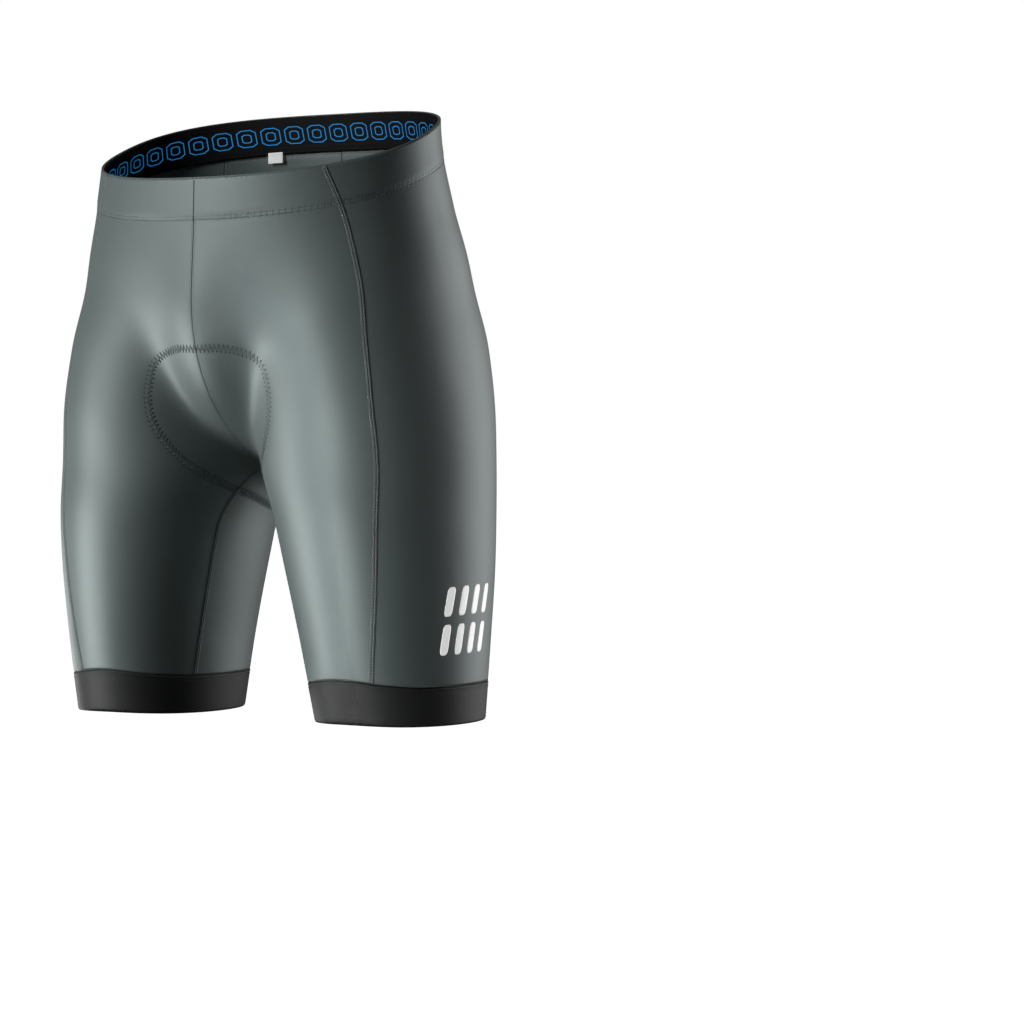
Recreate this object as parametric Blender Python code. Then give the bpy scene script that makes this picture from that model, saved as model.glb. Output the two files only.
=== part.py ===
"""Cycling shorts, filled out as they are worn, with no wearer inside.

Metres, +Z up. The front faces -Y and the wearer's left side is at +X. The origin is the middle of the waist opening,
where a wearer would hold the shorts up.

The cloth follows one smooth form: a trunk and two legs, each given by sections, and a rounded front for the seat pad,
all joined by one soft blend. A panel is a patch of that form between two seams, with a thin wall.
"""

import math

import bmesh
import bpy
import numpy as np

# Cloth and seams
CLOTH = 0.0014
BAND_CLOTH = 0.0017
ELASTIC_CLOTH = 0.0013
SEAM_GAP = 0.0003
BAND_GAP = 0.0006
LAYER_GAP = 0.0006
PAD_GAP = 0.0019

# Heights, from the middle of the waist opening
CROTCH = -0.253
PANEL_END = -0.4345
BAND_WIDTH = 0.0310

# The section table of the trunk. front and back are depths from the middle line. A square of 2 is an ellipse.
TRUNK_COLUMNS = ("height", "half_width", "front", "back", "square")
TRUNK = (
    (0.050, 0.144, 0.107, 0.106, 2.15),
    (0.000, 0.146, 0.108, 0.106, 2.15),
    (-0.050, 0.152, 0.110, 0.115, 2.25),
    (-0.100, 0.158, 0.110, 0.124, 2.30),
    (-0.150, 0.146, 0.106, 0.127, 2.20),
    (-0.250, 0.115, 0.098, 0.118, 2.10),
)
TRUNK_DOME = -0.120
TRUNK_DOME_DEPTH = 0.112

# The section table of a leg. out and back are where its middle lies.
LEG_COLUMNS = ("height", "out", "back", "half_width", "half_depth")
LEG = (
    (-0.120, 0.086, 0.010, 0.080, 0.107),
    (-0.160, 0.091, 0.010, 0.083, 0.111),
    (-0.210, 0.097, 0.008, 0.086, 0.110),
    (-0.260, 0.099, 0.007, 0.088, 0.106),
    (-0.300, 0.106, 0.005, 0.082, 0.103),
    (-0.340, 0.1105, 0.005, 0.0775, 0.098),
    (-0.400, 0.115, 0.006, 0.070, 0.089),
    (-0.465, 0.118, 0.008, 0.0635, 0.077),
)
LEG_SQUARE = 2.1
LEG_DOME = -0.170
LEG_DOME_HEIGHT = 0.140

# The rounded underside that the seat pad fills. Its middle is at this depth and height.
SEAT_BACK = 0.030
SEAT_HEIGHT = -0.140
SEAT_HALF_WIDTH = 0.070
SEAT_FRONT = 0.139
SEAT_BEHIND = 0.085
SEAT_DEPTH = 0.119
BLEND = 0.009


def column(table, columns, name, height):
    """The values of one column of a section table at these heights, on a smooth curve through its rows."""
    rows = sorted(table)
    heights = np.array([row[0] for row in rows])
    values = np.array([row[columns.index(name)] for row in rows])
    slopes = np.gradient(values, heights)
    at = np.clip(height, heights[0], heights[-1])
    i = np.clip(np.searchsorted(heights, at) - 1, 0, len(heights) - 2)
    step = heights[i + 1] - heights[i]
    t = (at - heights[i]) / step
    before = values[i] * (1 + 2 * t) * (1 - t) ** 2 + slopes[i] * step * t * (1 - t) ** 2
    after = values[i + 1] * t * t * (3 - 2 * t) + slopes[i + 1] * step * t * t * (t - 1)
    return before + after


def outside(parts, power):
    """How far points lie outside a rounded solid. parts are pairs of an offset and the solid's reach along it."""
    reach = sum(np.abs(offset / size) ** power for offset, size in parts) ** (1 / power)
    length = np.sqrt(sum(offset**2 for offset, size in parts))
    return length * (1 - 1 / np.maximum(reach, 1e-6))


def trunk_field(points):
    x, y, z = points.T
    wide, front, back, square = (column(TRUNK, TRUNK_COLUMNS, name, z) for name in TRUNK_COLUMNS[1:])
    under = np.maximum(TRUNK_DOME - z, 0)
    parts = ((x, wide), (y - (back - front) / 2, (front + back) / 2), (under, TRUNK_DOME_DEPTH))
    return outside(parts, square)


def leg_field(points, side):
    x, y, z = points.T
    out, back, wide, deep = (column(LEG, LEG_COLUMNS, name, z) for name in LEG_COLUMNS[1:])
    over = np.maximum(z - LEG_DOME, 0)
    return outside(((x - side * out, wide), (y - back, deep), (over, LEG_DOME_HEIGHT)), LEG_SQUARE)


def seat_field(points):
    x, y, z = points.T
    deep = np.where(y < SEAT_BACK, SEAT_FRONT, SEAT_BEHIND)
    return outside(((x, SEAT_HALF_WIDTH), (y - SEAT_BACK, deep), (z - SEAT_HEIGHT, SEAT_DEPTH)), 2)


def field(points):
    """The whole form: below zero inside, zero on the cloth's outer face."""
    fields = (trunk_field(points), leg_field(points, 1), leg_field(points, -1), seat_field(points))
    return -BLEND * np.log(sum(np.exp(-np.clip(f, -0.2, 0.2) / BLEND) for f in fields))


def slope(points):
    """The direction in which the form's field rises, not yet of unit length."""
    step = 0.0004
    shifts = np.eye(3) * step
    return np.stack([(field(points + s) - field(points - s)) / (2 * step) for s in shifts], axis=1)


def onto_form(points, rounds=14):
    """The points moved straight onto the form."""
    for _ in range(rounds):
        rise = slope(points)
        points = points - field(points)[:, None] * rise / np.maximum((rise**2).sum(1), 1e-9)[:, None]
    return points


def outward(points):
    rise = slope(points)
    return rise / np.linalg.norm(rise, axis=1)[:, None]


# The rows of cloth. Row 0 is the waist edge, row 1 runs through the crotch point, row 2 is the end of the leg panels.
WAIST_FRONT = -0.033
WAIST_BACK = 0.034
WAIST_SIDE = 0.003
WAIST_SKEW = 0.006
SIDE_AT_CROTCH_ROW = -0.212
FRONT_TURN = -0.160
FRONT_TURN_ROW = 0.46
BACK_TURN = -0.140
BACK_TURN_ROW = 0.48
INSEAM_FORWARD = math.radians(18)
INSEAM_EASE = 0.35
START_COLUMNS = ("height", "outer", "inner")
START = (
    (0.050, 0.146, -0.130),
    (0.000, 0.147, -0.130),
    (-0.100, 0.163, -0.130),
    (-0.170, 0.176, -0.085),
    (-0.220, 0.184, -0.025),
    (-0.242, 0.186, 0.000),
    (-0.253, 0.187, 0.010),
    (-0.300, 0.188, 0.026),
    (-0.400, 0.185, 0.044),
    (-0.460, 0.183, 0.053),
)
START_DEPTH = 0.106
SOFT_MIRROR = 0.010
ROWS_ABOVE = 56
ROWS_BELOW = 50
LAST_ROW = 2.2
SHARES = 161
EVEN_FROM_ROW = 0.65


def end_height(row, at_waist, turn, turn_row):
    """The height of a row's end on a centre seam: straight down to the turn, then round under to the crotch point."""
    if row <= turn_row:
        return at_waist + (turn - at_waist) * row / turn_row
    quarter = min((row - turn_row) / (1 - turn_row), 1) * math.pi / 2
    return turn - (turn - CROTCH) * math.sin(quarter)


def row_start(row):
    """Points near the form along one row of the left half, from the centre front or inseam round the side and back."""
    share = np.linspace(0, 1, SHARES)
    cosine = np.cos(math.pi * share)
    forward = 0.0
    if row <= 1:
        side = WAIST_SIDE + (SIDE_AT_CROTCH_ROW - WAIST_SIDE) * row
        front = end_height(row, WAIST_FRONT, FRONT_TURN, FRONT_TURN_ROW)
        back = end_height(row, WAIST_BACK, BACK_TURN, BACK_TURN_ROW)
        skew = WAIST_SKEW * max(1 - 2 * row, 0) ** 2
    else:
        side = max(SIDE_AT_CROTCH_ROW + (PANEL_END - SIDE_AT_CROTCH_ROW) * (row - 1), PANEL_END)
        front = back = max(CROTCH + (PANEL_END - CROTCH) * (row - 1), PANEL_END)
        below = max(row - 2, 0) * (CROTCH - PANEL_END)
        side, front, back, skew = side - below, front - below, back - below, 0.0
        forward = INSEAM_FORWARD * math.sin(min((row - 1) / INSEAM_EASE, 1) * math.pi / 2)
    tilt, sag = (front - back) / 2, (front + back) / 2 - side
    height = side + tilt * cosine + sag * cosine**2 + skew * (cosine**3 - cosine)
    outer = column(START, START_COLUMNS, "outer", height)
    inner = np.minimum(column(START, START_COLUMNS, "inner", height), outer)
    if row > 1:
        inner = np.maximum(inner, SOFT_MIRROR)
    middle, half = (outer + inner) / 2, (outer - inner) / 2
    open_by = np.arccos(np.clip((middle - SOFT_MIRROR) / half, -1, 1))
    first, last = open_by[0], open_by[-1]
    angle = first + forward + (2 * math.pi - first - last) * share
    across = middle - half * np.cos(angle)
    x = np.sqrt(np.maximum(across**2 - SOFT_MIRROR**2, 0))
    if row <= 1:
        x[[0, -1]] = 0
    return np.stack([x, -START_DEPTH * np.sin(angle), height], axis=1)


def make_rows():
    """The rows of the left half, each with points evenly spaced along it. Those above the crotch lie evenly too."""
    above = np.linspace(0, 1, ROWS_ABOVE + 1)
    rows = np.concatenate([above, np.linspace(1, LAST_ROW, ROWS_BELOW + 1)[1:]])
    lines = onto_form(np.concatenate([row_start(row) for row in rows])).reshape(len(rows), SHARES, 3)
    even = []
    for line in lines:
        along = np.concatenate([[0], np.cumsum(np.linalg.norm(np.diff(line, axis=0), axis=1))])
        at = np.linspace(0, along[-1], SHARES)
        even.append(np.stack([np.interp(at, along, line[:, k]) for k in range(3)], axis=1))
    grid = onto_form(np.concatenate(even), 4).reshape(len(rows), SHARES, 3)
    first = int(np.searchsorted(rows, EVEN_FROM_ROW))
    t = np.linspace(0, 1, ROWS_ABOVE - first + 1)[:, None, None]
    grid[first : ROWS_ABOVE + 1] = grid[first] * (1 - t) + grid[ROWS_ABOVE] * t
    return rows, onto_form(grid.reshape(-1, 3), 6).reshape(grid.shape)


def cloth_points(rows, grid, row, share):
    """Points of the form at these rows and shares of a row's length."""
    row, share = np.broadcast_arrays(row, share)
    at = np.interp(row.ravel(), rows, np.arange(len(rows)))
    across = np.clip(share.ravel(), 0, 1) * (SHARES - 1)
    i = np.minimum(at.astype(int), len(rows) - 2)
    j = np.minimum(across.astype(int), SHARES - 2)
    a, b = (at - i)[:, None], (across - j)[:, None]
    upper = grid[i, j] * (1 - b) + grid[i, j + 1] * b
    lower = grid[i + 1, j] * (1 - b) + grid[i + 1, j + 1] * b
    return onto_form(upper * (1 - a) + lower * a, 3).reshape(row.shape + (3,))


# How far out the seams between the front, side and back panels lie
SEAM_COLUMNS = ("height", "front", "back")
SEAMS = (
    (0.040, 0.082, 0.095),
    (-0.025, 0.104, 0.106),
    (-0.055, 0.116, 0.112),
    (-0.120, 0.133, 0.126),
    (-0.190, 0.145, 0.138),
    (-0.260, 0.151, 0.145),
    (-0.350, 0.149, 0.145),
    (-0.435, 0.140, 0.137),
)


def seam_shares(grid, name, half):
    """The share at which each row crosses a seam, within the front or the back half of the row."""
    shares = np.linspace(0, 1, SHARES)[half]
    found = []
    for line in grid[:, half]:
        beyond = line[:, 0] - column(SEAMS, SEAM_COLUMNS, name, line[:, 2])
        order = np.argsort(beyond)
        found.append(np.interp(0, beyond[order], shares[order]))
    return np.array(found)


# How fine each piece is
PANEL_ROWS = 36
FRONT_COLUMNS = 9
SIDE_COLUMNS = 18
BACK_COLUMNS = 9
CLOSER = 1.3
BAND_COLUMNS = 64
BAND_ROWS = 2
ELASTIC_COLUMNS = 96
ELASTIC_ROWS = 2

# The elastic inside the waist, and the blank label at its lower edge
ELASTIC_DOWN = 0.0012
ELASTIC_WIDTH = 0.030
LABEL_SHARE = 0.85
LABEL_WIDTH = 0.013
LABEL_LAP = 0.002
LABEL_HANG = 0.007
LABEL_CLOTH = 0.0006

# The seat pad. length is measured along its middle line, from the front edge.
PAD_COLUMNS = ("length", "half_width", "middle", "cheek", "edge")
PAD = (
    (0.000, 0.020, 0.0016, 0.0016, 0.0012),
    (0.012, 0.047, 0.0040, 0.0036, 0.0012),
    (0.035, 0.061, 0.0052, 0.0044, 0.0012),
    (0.065, 0.064, 0.0056, 0.0046, 0.0012),
    (0.095, 0.052, 0.0048, 0.0050, 0.0012),
    (0.125, 0.037, 0.0030, 0.0064, 0.0012),
    (0.155, 0.034, 0.0024, 0.0074, 0.0012),
    (0.190, 0.050, 0.0024, 0.0086, 0.0012),
    (0.225, 0.074, 0.0026, 0.0094, 0.0012),
    (0.260, 0.082, 0.0024, 0.0086, 0.0012),
    (0.290, 0.072, 0.0018, 0.0060, 0.0012),
    (0.305, 0.054, 0.0014, 0.0026, 0.0012),
)
PAD_TOP_FRONT = -0.166
PAD_ROWS = 36
PAD_HALF_COLUMNS = 10
PAD_STEPS = 20
CHANNEL = 0.16


def shell(name, outer, inner, closed, material):
    """A thin-walled piece between two grids of points. A closed piece joins its last column to its first."""
    rows, columns = outer.shape[:2]
    mesh = bpy.data.meshes.new(name)
    bm = bmesh.new()
    sheets = [[[bm.verts.new(point) for point in line] for line in grid] for grid in (outer, inner)]
    last = columns if closed else columns - 1
    for i in range(rows - 1):
        for j in range(last):
            k = (j + 1) % columns
            for sheet in sheets:
                bm.faces.new((sheet[i][j], sheet[i][k], sheet[i + 1][k], sheet[i + 1][j]))
    rim = [((i, j), (i, (j + 1) % columns)) for i in (0, rows - 1) for j in range(last)]
    if not closed:
        rim += [((i, j), (i + 1, j)) for j in (0, columns - 1) for i in range(rows - 1)]
    for (a, b), (c, d) in rim:
        bm.faces.new((sheets[0][a][b], sheets[0][c][d], sheets[1][c][d], sheets[1][a][b]))
    bmesh.ops.recalc_face_normals(bm, faces=bm.faces)
    bmesh.ops.triangulate(bm, faces=bm.faces)
    for face in bm.faces:
        face.smooth = True
    bm.to_mesh(mesh)
    bm.free()
    mesh.materials.append(material)
    piece = bpy.data.objects.new(name, mesh)
    bpy.context.scene.collection.objects.link(piece)
    return piece


def make_material(name, colour, roughness):
    material = bpy.data.materials.new(name)
    material.use_nodes = True
    shader = material.node_tree.nodes["Principled BSDF"]
    shader.inputs["Base Color"].default_value = (*colour, 1)
    shader.inputs["Roughness"].default_value = roughness
    return material


def lengths(points):
    """Distance along each line of points."""
    return np.concatenate([[0], np.cumsum(np.linalg.norm(np.diff(points, axis=0), axis=1))])


def moved_in(points, depth):
    """Points moved in from the form by this depth."""
    flat = points.reshape(-1, 3)
    return (flat - outward(flat) * np.reshape(depth, (-1, 1))).reshape(points.shape)


def mirrored(points):
    return points * np.array([-1, 1, 1])


def both_sides(name, points, depth, cloth, closed, material):
    """The left piece and its mirror image, from points on the form: a wall of this cloth that starts at a depth."""
    outer, inner = moved_in(points, depth), moved_in(points, depth + cloth)
    shell(name + "_left", outer, inner, closed, material)
    shell(name + "_right", mirrored(outer), mirrored(inner), closed, material)


def panel_points(rows, grid, first, last, columns, closer_at):
    """Points for a panel between two seams, given as shares for each row, held back by half a seam gap.

    They lie closer near the crotch: in the rows there, and in the columns at the first or the last seam.
    """
    above = int(PANEL_ROWS * 0.55)
    upper = 1 - np.linspace(1, 0, above + 1) ** CLOSER
    lower = 1 + np.linspace(0, 1, PANEL_ROWS - above + 1)[1:] ** CLOSER
    down = np.concatenate([upper, lower])
    girth = np.interp(down, rows, [lengths(line)[-1] for line in grid])
    gap = SEAM_GAP / 2 / girth
    across = np.linspace(0, 1, columns + 1)[None, :]
    if closer_at == "first":
        across = across**CLOSER
    if closer_at == "last":
        across = 1 - (1 - across) ** CLOSER
    start, end = (np.interp(down, rows, first) + gap)[:, None], (np.interp(down, rows, last) - gap)[:, None]
    return cloth_points(rows, grid, down[:, None], start + (end - start) * across)


def make_panels(rows, grid, material):
    middle = SHARES // 2
    front_seam = seam_shares(grid, "front", slice(0, middle))
    back_seam = seam_shares(grid, "back", slice(middle, SHARES))
    panels = (
        ("front", 0 * rows, front_seam, FRONT_COLUMNS, "first"),
        ("side", front_seam, back_seam, SIDE_COLUMNS, "none"),
        ("back", back_seam, 0 * rows + 1, BACK_COLUMNS, "last"),
    )
    for name, first, last, columns, closer_at in panels:
        points = panel_points(rows, grid, first, last, columns, closer_at)
        both_sides(name, points, 0, CLOTH, False, material)


def make_bands(rows, grid, material):
    """The gripper bands below the leg panels."""
    low = CROTCH - PANEL_END
    down = np.linspace(2 + BAND_GAP / low, 2 + BAND_WIDTH / low, BAND_ROWS + 1)
    share = np.arange(BAND_COLUMNS) / BAND_COLUMNS
    points = cloth_points(rows, grid, down[:, None], share[None, :])
    both_sides("hem", points, 0, BAND_CLOTH, True, material)


def row_at_depth(rows, grid, share, depth):
    """The row that lies this far down the cloth from the waist edge."""
    line = cloth_points(rows, grid, rows[:24], np.full(24, share))
    return np.interp(depth, lengths(line), rows[:24])


def waist_points(rows, grid, share, depths):
    """Points at these depths below the waist edge, a column for each share."""
    down = np.array([row_at_depth(rows, grid, s, depths) for s in share]).T
    return cloth_points(rows, grid, down, np.broadcast_to(share, down.shape))


def make_elastic(rows, grid, material):
    half = ELASTIC_COLUMNS // 2
    depths = ELASTIC_DOWN + ELASTIC_WIDTH * np.linspace(0, 1, ELASTIC_ROWS + 1)
    left = waist_points(rows, grid, np.arange(half + 1) / half, depths)
    points = np.concatenate([left, mirrored(left[:, -2:0:-1])], axis=1)
    start = CLOTH + LAYER_GAP
    shell("waist_elastic", moved_in(points, start), moved_in(points, start + ELASTIC_CLOTH), True, material)


def make_label(rows, grid, material):
    """The blank label hangs from the elastic's lower edge, at the back on the right."""
    girth = lengths(grid[0])[-1]
    share = LABEL_SHARE + LABEL_WIDTH / girth * np.linspace(-0.5, 0.5, 5)
    edge = ELASTIC_DOWN + ELASTIC_WIDTH
    points = mirrored(waist_points(rows, grid, share, np.linspace(edge - LABEL_LAP, edge + LABEL_HANG, 5)))
    start = CLOTH + LAYER_GAP + ELASTIC_CLOTH + LAYER_GAP
    shell("size_label", moved_in(points, start), moved_in(points, start + LABEL_CLOTH), False, material)


def centre_line(rows, grid):
    """The middle line of the cloth, from the centre front under the crotch to the centre back."""
    front = grid[rows <= 1, 0]
    back = grid[rows <= 1, -1][::-1]
    line = np.concatenate([front, back[1:]])
    line[:, 0] = 0
    along = lengths(line)
    start = np.interp(-PAD_TOP_FRONT, -front[:, 2], lengths(front))
    at = start + PAD[-1][0] * np.linspace(0, 1, PAD_ROWS + 1)
    return np.stack([np.interp(at, along, line[:, k]) for k in range(3)], axis=1)


def pad_points(rows, grid):
    """Points of the pad's outer face on the form: lines laid straight out over the cloth from the middle line."""
    point = centre_line(rows, grid)
    length = np.linspace(0, PAD[-1][0], PAD_ROWS + 1)
    step = column(PAD, PAD_COLUMNS, "half_width", length)[:, None] / PAD_STEPS
    heading = np.tile([1.0, 0.0, 0.0], (len(point), 1))
    lines = [point]
    for _ in range(PAD_STEPS):
        point = onto_form(point + heading * step, 3)
        normal = outward(point)
        heading = heading - (heading * normal).sum(1)[:, None] * normal
        heading = heading / np.linalg.norm(heading, axis=1)[:, None]
        lines.append(point)
    picked = [lines[round(k * PAD_STEPS / PAD_HALF_COLUMNS)] for k in range(PAD_HALF_COLUMNS + 1)]
    half = np.stack(picked, axis=1)
    return length, np.concatenate([mirrored(half[:, :0:-1]), half], axis=1)


def make_pad(rows, grid, material):
    """The moulded pad: raised cheeks either side of a channel down the middle, and a thin stitched rim."""
    length, points = pad_points(rows, grid)
    across = np.abs(np.linspace(-1, 1, points.shape[1]))
    middle, cheek, edge = (column(PAD, PAD_COLUMNS, name, length)[:, None] for name in PAD_COLUMNS[2:])
    rise = np.clip(across / (2 * CHANNEL), 0, 1)
    fall = np.clip((1 - across) / 0.35, 0, 1)
    thick = middle + (cheek - middle) * rise * rise * (3 - 2 * rise)
    thick = edge + (thick - edge) * fall * fall * (3 - 2 * fall)
    start = CLOTH + PAD_GAP
    shell("pad", moved_in(points, start), moved_in(points, start + thick), False, material)


def main():
    for old in list(bpy.data.objects):
        bpy.data.objects.remove(old, do_unlink=True)
    knit = make_material("knit", (0.145, 0.180, 0.176), 0.55)
    gripper = make_material("gripper", (0.016, 0.017, 0.019), 0.6)
    elastic = make_material("elastic", (0.012, 0.012, 0.014), 0.7)
    foam = make_material("foam", (0.36, 0.38, 0.38), 0.8)
    tape = make_material("tape", (0.80, 0.80, 0.79), 0.7)
    rows, grid = make_rows()
    make_panels(rows, grid, knit)
    make_bands(rows, grid, gripper)
    make_elastic(rows, grid, elastic)
    make_label(rows, grid, tape)
    make_pad(rows, grid, foam)


if __name__ == "__main__":
    main()
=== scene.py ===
"""The detailed look of the cycling shorts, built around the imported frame."""

import math

import bmesh
import bpy
import numpy as np
from bpy.props import FloatProperty, FloatVectorProperty, PointerProperty
from mathutils import Matrix, Vector


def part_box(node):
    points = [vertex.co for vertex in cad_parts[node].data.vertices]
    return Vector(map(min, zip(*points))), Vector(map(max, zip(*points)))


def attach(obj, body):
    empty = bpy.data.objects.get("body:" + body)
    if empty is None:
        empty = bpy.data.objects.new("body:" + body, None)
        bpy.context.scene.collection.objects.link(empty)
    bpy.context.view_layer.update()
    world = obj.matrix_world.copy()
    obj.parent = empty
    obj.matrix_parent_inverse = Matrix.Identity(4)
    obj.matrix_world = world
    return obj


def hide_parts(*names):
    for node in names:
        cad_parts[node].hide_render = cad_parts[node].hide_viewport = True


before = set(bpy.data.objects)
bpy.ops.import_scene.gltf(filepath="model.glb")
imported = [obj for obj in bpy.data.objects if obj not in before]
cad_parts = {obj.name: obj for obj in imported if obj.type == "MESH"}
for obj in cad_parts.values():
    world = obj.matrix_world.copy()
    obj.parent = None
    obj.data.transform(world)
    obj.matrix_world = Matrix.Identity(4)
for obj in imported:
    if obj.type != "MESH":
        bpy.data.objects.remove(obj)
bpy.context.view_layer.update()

bl_info = {
    "name": "Cycling shorts",
    "version": (1, 0, 0),
    "blender": (4, 5, 0),
    "location": "3D View > Sidebar > Shorts",
    "description": "Builds the cloth, seams, bands, elastic and seat pad of a pair of cycling shorts",
    "category": "Object",
}

# The form that the cloth follows, with the same sections as the solids
CROTCH = -0.253
PANEL_END = -0.4345
BAND_WIDTH = 0.0310
TRUNK_COLUMNS = ("height", "half_width", "front", "back", "square")
TRUNK = (
    (0.050, 0.144, 0.107, 0.106, 2.15),
    (0.000, 0.146, 0.108, 0.106, 2.15),
    (-0.050, 0.152, 0.110, 0.115, 2.25),
    (-0.100, 0.158, 0.110, 0.124, 2.30),
    (-0.150, 0.146, 0.106, 0.127, 2.20),
    (-0.250, 0.115, 0.098, 0.118, 2.10),
)
TRUNK_DOME = -0.120
TRUNK_DOME_DEPTH = 0.112
LEG_COLUMNS = ("height", "out", "back", "half_width", "half_depth")
LEG = (
    (-0.040, 0.0805, 0.010, 0.0770, 0.102),
    (-0.080, 0.0825, 0.010, 0.0780, 0.104),
    (-0.120, 0.086, 0.010, 0.080, 0.107),
    (-0.160, 0.091, 0.010, 0.083, 0.111),
    (-0.210, 0.097, 0.008, 0.086, 0.110),
    (-0.260, 0.099, 0.007, 0.088, 0.106),
    (-0.300, 0.106, 0.005, 0.082, 0.103),
    (-0.340, 0.1105, 0.005, 0.0775, 0.098),
    (-0.400, 0.115, 0.006, 0.070, 0.089),
    (-0.465, 0.118, 0.008, 0.0635, 0.077),
)
LEG_SQUARE = 2.1
LEG_DOME = -0.170
LEG_DOME_HEIGHT = 0.140
SEAT_BACK = 0.030
SEAT_HEIGHT = -0.140
SEAT_HALF_WIDTH = 0.070
SEAT_FRONT = 0.139
SEAT_BEHIND = 0.085
SEAT_DEPTH = 0.119
BLEND = 0.009


def column(table, columns, name, height):
    """The values of one column of a section table at these heights, on a smooth curve through its rows."""
    rows = sorted(table)
    heights = np.array([row[0] for row in rows])
    values = np.array([row[columns.index(name)] for row in rows])
    slopes = np.gradient(values, heights)
    at = np.clip(height, heights[0], heights[-1])
    i = np.clip(np.searchsorted(heights, at) - 1, 0, len(heights) - 2)
    step = heights[i + 1] - heights[i]
    t = (at - heights[i]) / step
    before = values[i] * (1 + 2 * t) * (1 - t) ** 2 + slopes[i] * step * t * (1 - t) ** 2
    after = values[i + 1] * t * t * (3 - 2 * t) + slopes[i + 1] * step * t * t * (t - 1)
    return before + after


def outside(parts, power):
    """How far points lie outside a rounded solid. parts are pairs of an offset and the reach along it."""
    reach = sum(np.abs(offset / size) ** power for offset, size in parts) ** (1 / power)
    length = np.sqrt(sum(offset**2 for offset, size in parts))
    return length * (1 - 1 / np.maximum(reach, 1e-6))


def trunk_field(points):
    x, y, z = points.T
    wide, front, back, square = (column(TRUNK, TRUNK_COLUMNS, name, z) for name in TRUNK_COLUMNS[1:])
    under = np.maximum(TRUNK_DOME - z, 0)
    parts = ((x, wide), (y - (back - front) / 2, (front + back) / 2), (under, TRUNK_DOME_DEPTH))
    return outside(parts, square)


def leg_field(points, side):
    x, y, z = points.T
    out, back, wide, deep = (column(LEG, LEG_COLUMNS, name, z) for name in LEG_COLUMNS[1:])
    over = np.maximum(z - LEG_DOME, 0)
    return outside(((x - side * out, wide), (y - back, deep), (over, LEG_DOME_HEIGHT)), LEG_SQUARE)


def seat_field(points):
    x, y, z = points.T
    deep = np.where(y < SEAT_BACK, SEAT_FRONT, SEAT_BEHIND)
    return outside(((x, SEAT_HALF_WIDTH), (y - SEAT_BACK, deep), (z - SEAT_HEIGHT, SEAT_DEPTH)), 2)


def field(points):
    """The whole form: below zero inside, zero on the cloth's outer face."""
    fields = (trunk_field(points), leg_field(points, 1), leg_field(points, -1), seat_field(points))
    return -BLEND * np.log(sum(np.exp(-np.clip(f, -0.2, 0.2) / BLEND) for f in fields))


def slope(points):
    """The direction in which the form's field rises, not yet of unit length."""
    step = 0.0004
    shifts = np.eye(3) * step
    return np.stack([(field(points + s) - field(points - s)) / (2 * step) for s in shifts], axis=1)


def onto_form(points, rounds=14):
    """The points moved straight onto the form."""
    for _ in range(rounds):
        rise = slope(points)
        points = points - field(points)[:, None] * rise / np.maximum((rise**2).sum(1), 1e-9)[:, None]
    return points


def unit(vectors):
    """The vectors at unit length."""
    return vectors / np.linalg.norm(vectors, axis=1)[:, None]


def outward(points):
    """The direction straight out of the form at these points, in any layout."""
    return unit(slope(points.reshape(-1, 3))).reshape(points.shape)


# The rows of cloth. Row 0 is the waist edge, row 1 runs through the crotch point,
# and row 2 is the end of the leg panels.
WAIST_FRONT = -0.033
WAIST_BACK = 0.034
WAIST_SIDE = 0.003
WAIST_SKEW = 0.006
SIDE_AT_CROTCH_ROW = -0.212
FRONT_TURN = -0.160
FRONT_TURN_ROW = 0.46
BACK_TURN = -0.140
BACK_TURN_ROW = 0.48
INSEAM_FORWARD = math.radians(18)
INSEAM_EASE = 0.35
START_COLUMNS = ("height", "outer", "inner")
START = (
    (0.050, 0.146, -0.130),
    (0.000, 0.147, -0.130),
    (-0.100, 0.163, -0.130),
    (-0.170, 0.176, -0.085),
    (-0.220, 0.184, -0.025),
    (-0.242, 0.186, 0.000),
    (-0.253, 0.187, 0.010),
    (-0.300, 0.188, 0.026),
    (-0.400, 0.185, 0.044),
    (-0.460, 0.183, 0.053),
)
START_DEPTH = 0.106
SOFT_MIRROR = 0.010
ROWS_ABOVE = 56
ROWS_BELOW = 50
LAST_ROW = 2.2
SHARES = 161
EVEN_FROM_ROW = 0.65


def end_height(row, at_waist, turn, turn_row):
    """The height of a row's end on a centre seam: straight down to the turn, then round under the crotch."""
    if row <= turn_row:
        return at_waist + (turn - at_waist) * row / turn_row
    quarter = min((row - turn_row) / (1 - turn_row), 1) * math.pi / 2
    return turn - (turn - CROTCH) * math.sin(quarter)


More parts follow.
